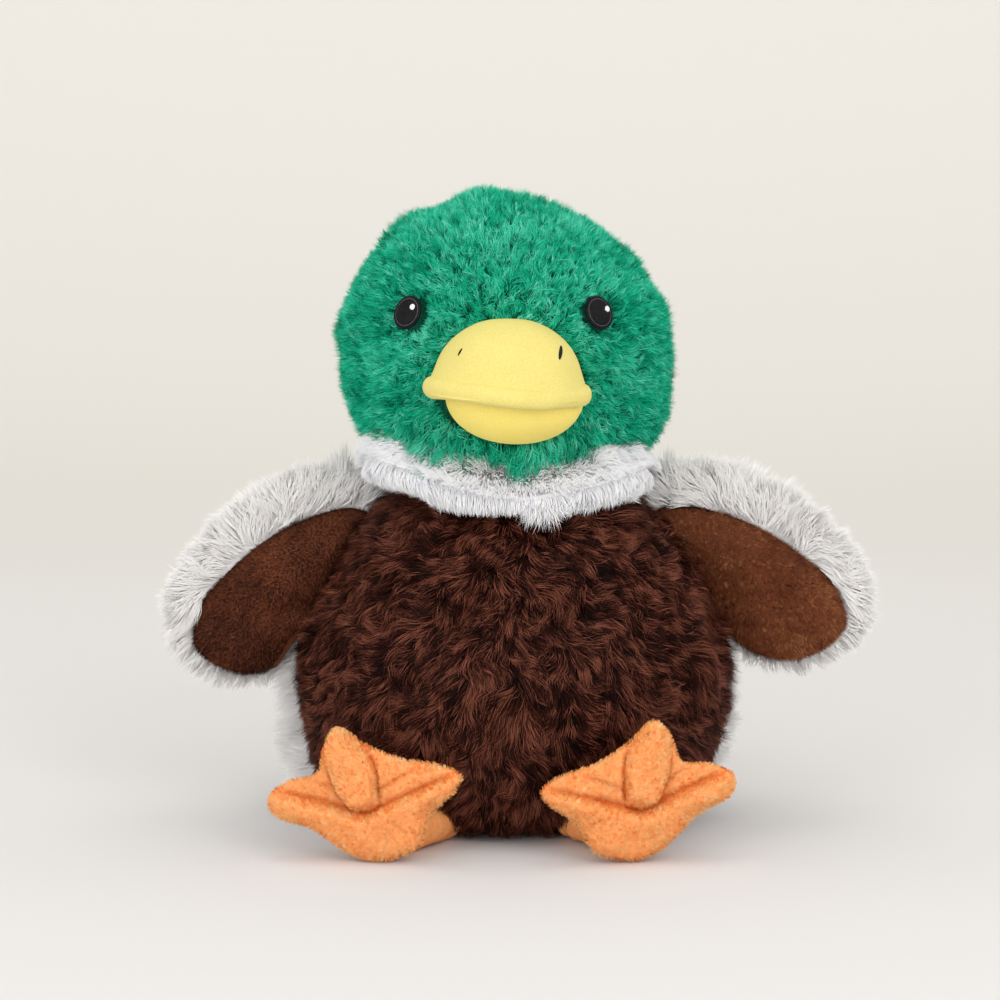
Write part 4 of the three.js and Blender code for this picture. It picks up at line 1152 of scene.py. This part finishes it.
feet = {
    "halfSpan": 42, "length": 60, "inset": 1.2, "spacing": 98, "forward": 98, "lift": 0.4, "lean": 8,
    "yaw": 12, "rolls": {-1: 20.8, 1: 10}, "shifts": {-1: -2.0, 1: 0.0}, "centre": (0, 0.42),
    "meet": (0.5, 21.5), "rise": 8.6, "backRise": 4.6, "floor": 0.5, "lumpSize": 15,
    "outline": [(0.07, 1.01), (0.25, 0.91), (0.41, 0.75), (0.74, 0.76), (0.98, 0.7), (0.98, 0.58),
                (0.64, 0.4), (0.36, 0.15), (0.1, 0.03), (-0.14, 0.01), (-0.36, 0.04), (-0.57, 0.21),
                (-0.9, 0.32), (-1, 0.4), (-0.88, 0.5), (-0.5, 0.64), (-0.16, 0.83)],
    "creases": (31, 175), "toe": {"lean": 87, "half": 8.8, "root": 0.36, "tip": 0.16},
    "web": 0.42, "webFall": 0.16, "ridge": 2.0, "lump": 0.25, "backLump": 0.2, "darkest": 0.42,
    "wide": {"crease": 1.7, "gutter": 1.1, "tuck": 1.3, "fold": 1.2},
    "deep": {"crease": 2.3, "gutter": 1.9, "tuck": 0.5, "fold": 1.1},
    # how strongly each crease is painted in shadow, up to darkest: painted shade
    "shadow": {"crease": 1, "gutter": 1, "tuck": 0.8, "fold": 0.5},
    "nap": {"perSquare": 3.8, "length": 1.9, "radius": 0.12, "rings": 2, "lean": (14, 50), "leanSpread": 12,
            "swirl": 50, "swirlSize": 5, "stray": 20, "lock": 6, "pull": 0.6, "curl": 0.1, "turns": 0.3,
            "sink": 0.2, "lockTone": 0.16, "ownTone": 0.06, "bloom": 0.88},
}


def footMarks(f, side, flat, s):  # where the middle toe and the bowl stand up, and where the creases lie
    u, v = flat[:, 0] * side - f["meet"][0], flat[:, 1] - f["meet"][1]
    below = []
    for degrees in f["creases"]:
        cross = math.cos(math.radians(degrees)) * v - math.sin(math.radians(degrees)) * u
        below.append(-cross if degrees < 90 else cross)
    depth = np.where(u > 0, *below)  # how far under the crease of its side
    toe, wide = f["toe"], f["wide"]
    lean = math.radians(toe["lean"])
    toeAlong = u * math.cos(lean) + v * math.sin(lean)
    toeAcross = np.abs(u * math.sin(lean) - v * math.cos(lean))
    half = toe["half"] * (1 - toe["root"] * smooth(17, 1, toeAlong) - toe["tip"] * smooth(24, 38, toeAlong))
    onToe = smooth(half + 1.2, half - 2.2, toeAcross) * smooth(-1.5, 6.5, toeAlong)
    onBowl = smooth(-1.4, 4.4, depth)
    beside = hump(toeAcross - half - 0.6, wide["gutter"]) * smooth(1, 5, toeAlong)
    lines = {
        "crease": hump(depth, wide["crease"]) * (1 - onToe * smooth(1, 7, toeAlong)) * smooth(0.98, 0.8, s),
        "gutter": beside * smooth(0.97, 0.8, s) * (1 - onBowl),
        "tuck": hump(toeAlong + 0.5, wide["tuck"]) * (toeAcross < half),
        "fold": hump(depth + 6 + 0.12 * np.abs(u), wide["fold"]) * (1 - onToe) * smooth(0.95, 0.7, s),
    }
    ridge = onToe * np.sqrt(np.clip(1 - (toeAcross / np.maximum(half, 1)) ** 2, 0, 1))
    return depth, onToe, onBowl, ridge, lines


def footRelief(f, side):  # the height of a foot's face over its flat outline
    def relief(flat, s):
        depth, onToe, onBowl, ridge, lines = footMarks(f, side, flat, s)
        web = f["web"] + f["webFall"] * smooth(0, 16, -depth)
        height = f["rise"] * (1 - s ** 3.2) ** 0.5 * (web + (1 - web) * np.maximum(onToe, onBowl))
        height = height + f["ridge"] * ridge * smooth(1.0, 0.8, s)
        height = height + hump(depth - 5, 4) * smooth(1.0, 0.75, s)
        height = height - sum(f["deep"][key] * line for key, line in lines.items())
        return np.maximum(height, 0.0) + f["lump"] * (1 - s ** 6) * flatNoise(flat, f["lumpSize"], 71 + side)

    return relief


def footShade(f, side, flat):  # the nap is painted darker in the creases: painted shade
    lines = footMarks(f, side, flat, np.full(len(flat), 0.6))[-1]
    return -f["darkest"] * np.clip(sum(f["shadow"][key] * line for key, line in lines.items()), 0, 1)


def footMatrix(f, side):
    lean, yaw = math.radians(90 - f["lean"]), math.radians(f["yaw"] * side)
    roll = math.radians(-f["rolls"][side] * side)
    tip = np.array([[1, 0, 0], [0, math.cos(lean), -math.sin(lean)], [0, math.sin(lean), math.cos(lean)]])

    def turn(angle):
        return np.array([[math.cos(angle), -math.sin(angle), 0], [math.sin(angle), math.cos(angle), 0],
                         [0, 0, 1]])

    corner = np.array([f["spacing"] / 2 * side + f["shifts"][side], -f["forward"], f["lift"]])
    return turn(yaw) @ tip @ turn(roll), corner


def footFace(f, side, name, half, seed, over, under, rings):
    front = half == "Front"
    matrix, corner = footMatrix(f, side)
    outline = closedCurve(f["outline"], f["halfSpan"] - f["inset"], f["length"] - f["inset"], side, 260)
    centre = np.array([f["centre"][0], f["centre"][1] * f["length"]])
    points, faces = pillow(outline, centre, rings, over, under)
    points = points @ matrix.T + corner
    points[:, 2] = np.maximum(points[:, 2], f["floor"])
    sew(addMesh(f"foot{name.title()}{half}", points, faces, finish["orange_ground"]), f"foot_{name}",
        [f"foot_{name}_{half.lower()}_panel"])
    fibre = f["nap"]
    roots, normals = scatter(points, faces, fibre["perSquare"], seed)
    kept = normals @ (matrix[:, 2] * (1 if front else -1)) > -0.25
    roots, normals = take(kept, roots, normals)
    combs = np.tile(matrix[:, 1] * 0.8 + matrix[:, 0] * 0.3 * side, (len(roots), 1))
    lengths = fibre["length"] * (1 + 0.15 * softNoise(roots, 14, seed))
    shades = 0.1 * softNoise(roots, 14, seed + 2)
    # painted shade in the front's creases
    if front:
        shades = shades + footShade(f, side, ((roots - corner) @ matrix)[:, :2])
    growPile(f"foot{name.title()}{half}Nap", f"foot_{name}", "orange_minky", roots, normals, combs, lengths,
             fibre, seed + 1, shades, normals + (np.array([0, -0.45, 0.2]) if front else 0))


def footSkins(f, side, name, seed):
    def flatBack(flat, s):
        return -0.2 * (1 - s ** 4)

    def flatFront(flat, s):
        return 0.0 * s

    def swollenBack(flat, s):
        lump = f["backLump"] * (1 - s ** 6) * flatNoise(flat, f["lumpSize"], 75 + side)
        return -f["backRise"] * (1 - s ** 3) ** 0.55 + lump

    footFace(f, side, name, "Front", seed, footRelief(f, side), flatBack, 60)
    footFace(f, side, name, "Back", seed + 3, flatFront, swollenBack, 30)


for (side, name), seed in zip(pair, (80, 90)):
    footSkins(feet, side, name, seed)
stage("feet covered")

legs = {
    "hip": (27, -54.8167, 9),
    "ankles": {-1: (-50.53528, -88.14321, 8.52998), 1: (48.74588, -88.45244, 9.02493)},
    "hipRadius": 7.6, "middleRise": 0.7, "ankleRadius": 7.1, "crumple": 0.45, "crumpleSize": 9, "floor": 0.6,
}


def legSkin(g, side, name, seed):
    hip = np.array([g["hip"][0] * side, g["hip"][1], g["hip"][2]])
    ankle = np.array(g["ankles"][side])
    length = np.linalg.norm(ankle - hip)
    way = unit(ankle - hip)
    along = np.linspace(-g["hipRadius"], length + g["ankleRadius"], 64)
    radii = g["hipRadius"] + (g["ankleRadius"] - g["hipRadius"]) * along / length
    hipBall = np.sqrt(np.maximum(g["hipRadius"] ** 2 - along ** 2, 0.01))
    ankleBall = np.sqrt(np.maximum(g["ankleRadius"] ** 2 - (along - length) ** 2, 0.01))
    radii = np.where(along < 0, hipBall, np.where(along > length, ankleBall, radii))
    middle = smooth(0, length / 2, along) * smooth(length, length / 2, along)
    points, faces = ringTube(hip + way * along[:, None], radii + middle * g["middleRise"], 48)
    axis = hip + way * ((points - hip) @ way)[:, None]
    crumple = g["crumple"] * softNoise(points * (1, 1, 0.4), g["crumpleSize"], seed)
    points = points + unit(points - axis) * crumple[:, None]
    points[:, 2] = np.maximum(points[:, 2], g["floor"])
    sew(addMesh(f"leg{name.title()}Skin", points, faces, finish["orange_ground"]), f"leg_{name}",
        [f"leg_{name}"])
    fibre = feet["nap"]
    roots, normals = scatter(points, faces, fibre["perSquare"], seed)
    count = len(roots)
    growPile(f"leg{name.title()}Nap", f"leg_{name}", "orange_minky", roots, normals, np.tile(way, (count, 1)),
             np.full(count, fibre["length"]), fibre, seed + 1, 0.1 * softNoise(roots, 14, seed + 2))


for (side, name), seed in zip(pair, (100, 104)):
    legSkin(legs, side, name, seed)
stage("legs covered")

tail = {
    "root": (0, 82.76975, 42), "tilt": 35,
    "form": {"x": 0, "y": 0, "z": 7, "half": 12, "front": 5.5, "back": 5.5, "up": 24, "down": 8,
             "upPower": 1.8, "downPower": 2},
    "locks": {"length": 13, "lean": (30, 66), "lock": 16, "pull": 0.6, "perSquare": 1.6},
}


def tailSkin(t):
    points, faces = eggLattice(t["form"], 48, 30)
    turn = math.radians(t["tilt"] - 90)
    spin = np.array([[1, 0, 0], [0, math.cos(turn), -math.sin(turn)], [0, math.sin(turn), math.cos(turn)]])
    points = points @ spin.T + np.array(t["root"])
    sew(addMesh("tailSkin", points, faces, finish["grey_ground"]), "tail", ["tail"])
    fibre = dict(body["locks"], **t["locks"])
    roots, normals = scatter(points, faces, fibre["perSquare"], 110)
    growPile("tailPile", "tail", "grey_pile", roots, normals, np.tile(spin[:, 2], (len(roots), 1)),
             np.full(len(roots), fibre["length"]), fibre, 111)


tailSkin(tail)
stage("tail covered")

filling = {"knit": 4, "inward": 0.8, "lumpSize": 22}


def stuffing(f, name, node, bodyName, slotName, lump, seed):  # lumpy, and a little inside its cover
    piece = link(name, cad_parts[node].data.copy())
    knit = piece.modifiers.new("knit", "REMESH")
    knit.mode, knit.voxel_size = "VOXEL", f["knit"] * mm
    whole = bpy.data.meshes.new_from_object(piece.evaluated_get(bpy.context.evaluated_depsgraph_get()))
    piece.modifiers.clear()
    piece.data = whole
    places, ways = np.empty((2, len(whole.vertices) * 3), np.float32)
    whole.vertices.foreach_get("co", places)
    whole.vertices.foreach_get("normal", ways)
    places, ways = places.reshape(-1, 3) / mm, ways.reshape(-1, 3)
    inward = f["inward"] + lump * (1 + softNoise(places, f["lumpSize"], seed)) / 2
    setRows(whole.vertices, "co", (places - ways * inward[:, None]) * mm)
    whole.update()
    whole.materials.clear()
    whole.materials.append(finish[slotName])
    whole.shade_smooth()
    sew(piece, bodyName, [node])


stuffing(filling, "bodyStuffing", "body_filling", "torso", "fibre_filling", 2.0, 121)
stuffing(filling, "seatBag", "weight_bag", "torso", "calico", 1.6, 122)
stuffing(filling, "headStuffing", "head_filling", "head", "fibre_filling", 2.0, 123)
stage("fillings made")

room = {
    # hollow: painted shade where the floor bends up into the wall
    "floor": paint(227, 225, 225), "wall": paint(240, 238, 233), "hollow": paint(225, 223, 217),
    "front": -3.0, "bendFrom": 0.9, "bend": 1.2, "top": 4.0, "half": 4.0, "shadeDepth": 2.2,
    "world": 0.93, "air": (1.0, 0.985, 0.96, 1.0), "aim": (0, 0, 0.12),
    "lamps": {  # place, size, power and colour
        "keyLamp": ((0.8, -1.5, 0.95), 1.2, 8.0, (1.0, 0.98, 0.95)),
        "fillLamp": ((-1.0, -1.5, 0.5), 0.8, 7.0, (1.0, 0.99, 0.99)),
        "topLamp": ((0.1, 0.3, 1.9), 1.4, 3.0, (1.0, 1.0, 1.0)),
    },
}


def floorMaterial(r):  # its colour follows the depth of the room, with painted shade in the hollow where the floor bends up into the wall
    made = bpy.data.materials.new("studioSweep")
    made.use_nodes = True
    tree = made.node_tree
    shader = tree.nodes["Principled BSDF"]
    place = tree.nodes.new("ShaderNodeNewGeometry")
    parts = tree.nodes.new("ShaderNodeSeparateXYZ")
    depth = tree.nodes.new("ShaderNodeMapRange")
    tree.links.new(place.outputs["Position"], parts.inputs[0])
    tree.links.new(parts.outputs[1], depth.inputs["Value"])
    depth.inputs["From Min"].default_value, depth.inputs["From Max"].default_value = 0.0, r["shadeDepth"]
    # painted shade: the colour dips in the hollow between floor and wall
    stops = [(0.0, r["floor"]), (0.16, r["floor"]), (0.5, r["hollow"]), (0.93, r["wall"])]
    tree.links.new(ramp(tree, depth.outputs[0], stops), shader.inputs["Base Color"])
    shader.inputs["Roughness"].default_value = 0.9
    shader.inputs["Specular IOR Level"].default_value = 0.1
    return made


def studio(r):
    bends = np.linspace(0.08, math.pi / 2, 22)
    profile = [(r["front"], 0.0), (r["bendFrom"], 0.0)]
    profile += [(r["bendFrom"] + r["bend"] * math.sin(a), r["bend"] * (1 - math.cos(a))) for a in bends]
    profile.append((r["bendFrom"] + r["bend"], r["top"]))
    rows = [(side * r["half"] / mm, y / mm, z / mm) for y, z in profile for side in (-1, 1)]
    faces = [(2 * k, 2 * k + 1, 2 * k + 3, 2 * k + 2) for k in range(len(profile) - 1)]
    sweep = addMesh("studioSweep", rows, faces, floorMaterial(r))
    world = bpy.data.worlds.new("studioAir")
    bpy.context.scene.world = world
    world.use_nodes = True
    world.node_tree.nodes["Background"].inputs[0].default_value = r["air"]
    world.node_tree.nodes["Background"].inputs[1].default_value = r["world"]
    for name, (place, size, power, colour) in r["lamps"].items():
        data = bpy.data.lights.new(name, "AREA")
        data.shape, data.size, data.energy, data.color = "DISK", size, power, colour
        lamp = link(name, data)
        lamp.location = place
        lamp.rotation_euler = (Vector(r["aim"]) - Vector(place)).to_track_quat("-Z", "Y").to_euler()


studio(room)
bpy.context.scene.view_settings.view_transform = "Standard"
stage("studio lit")
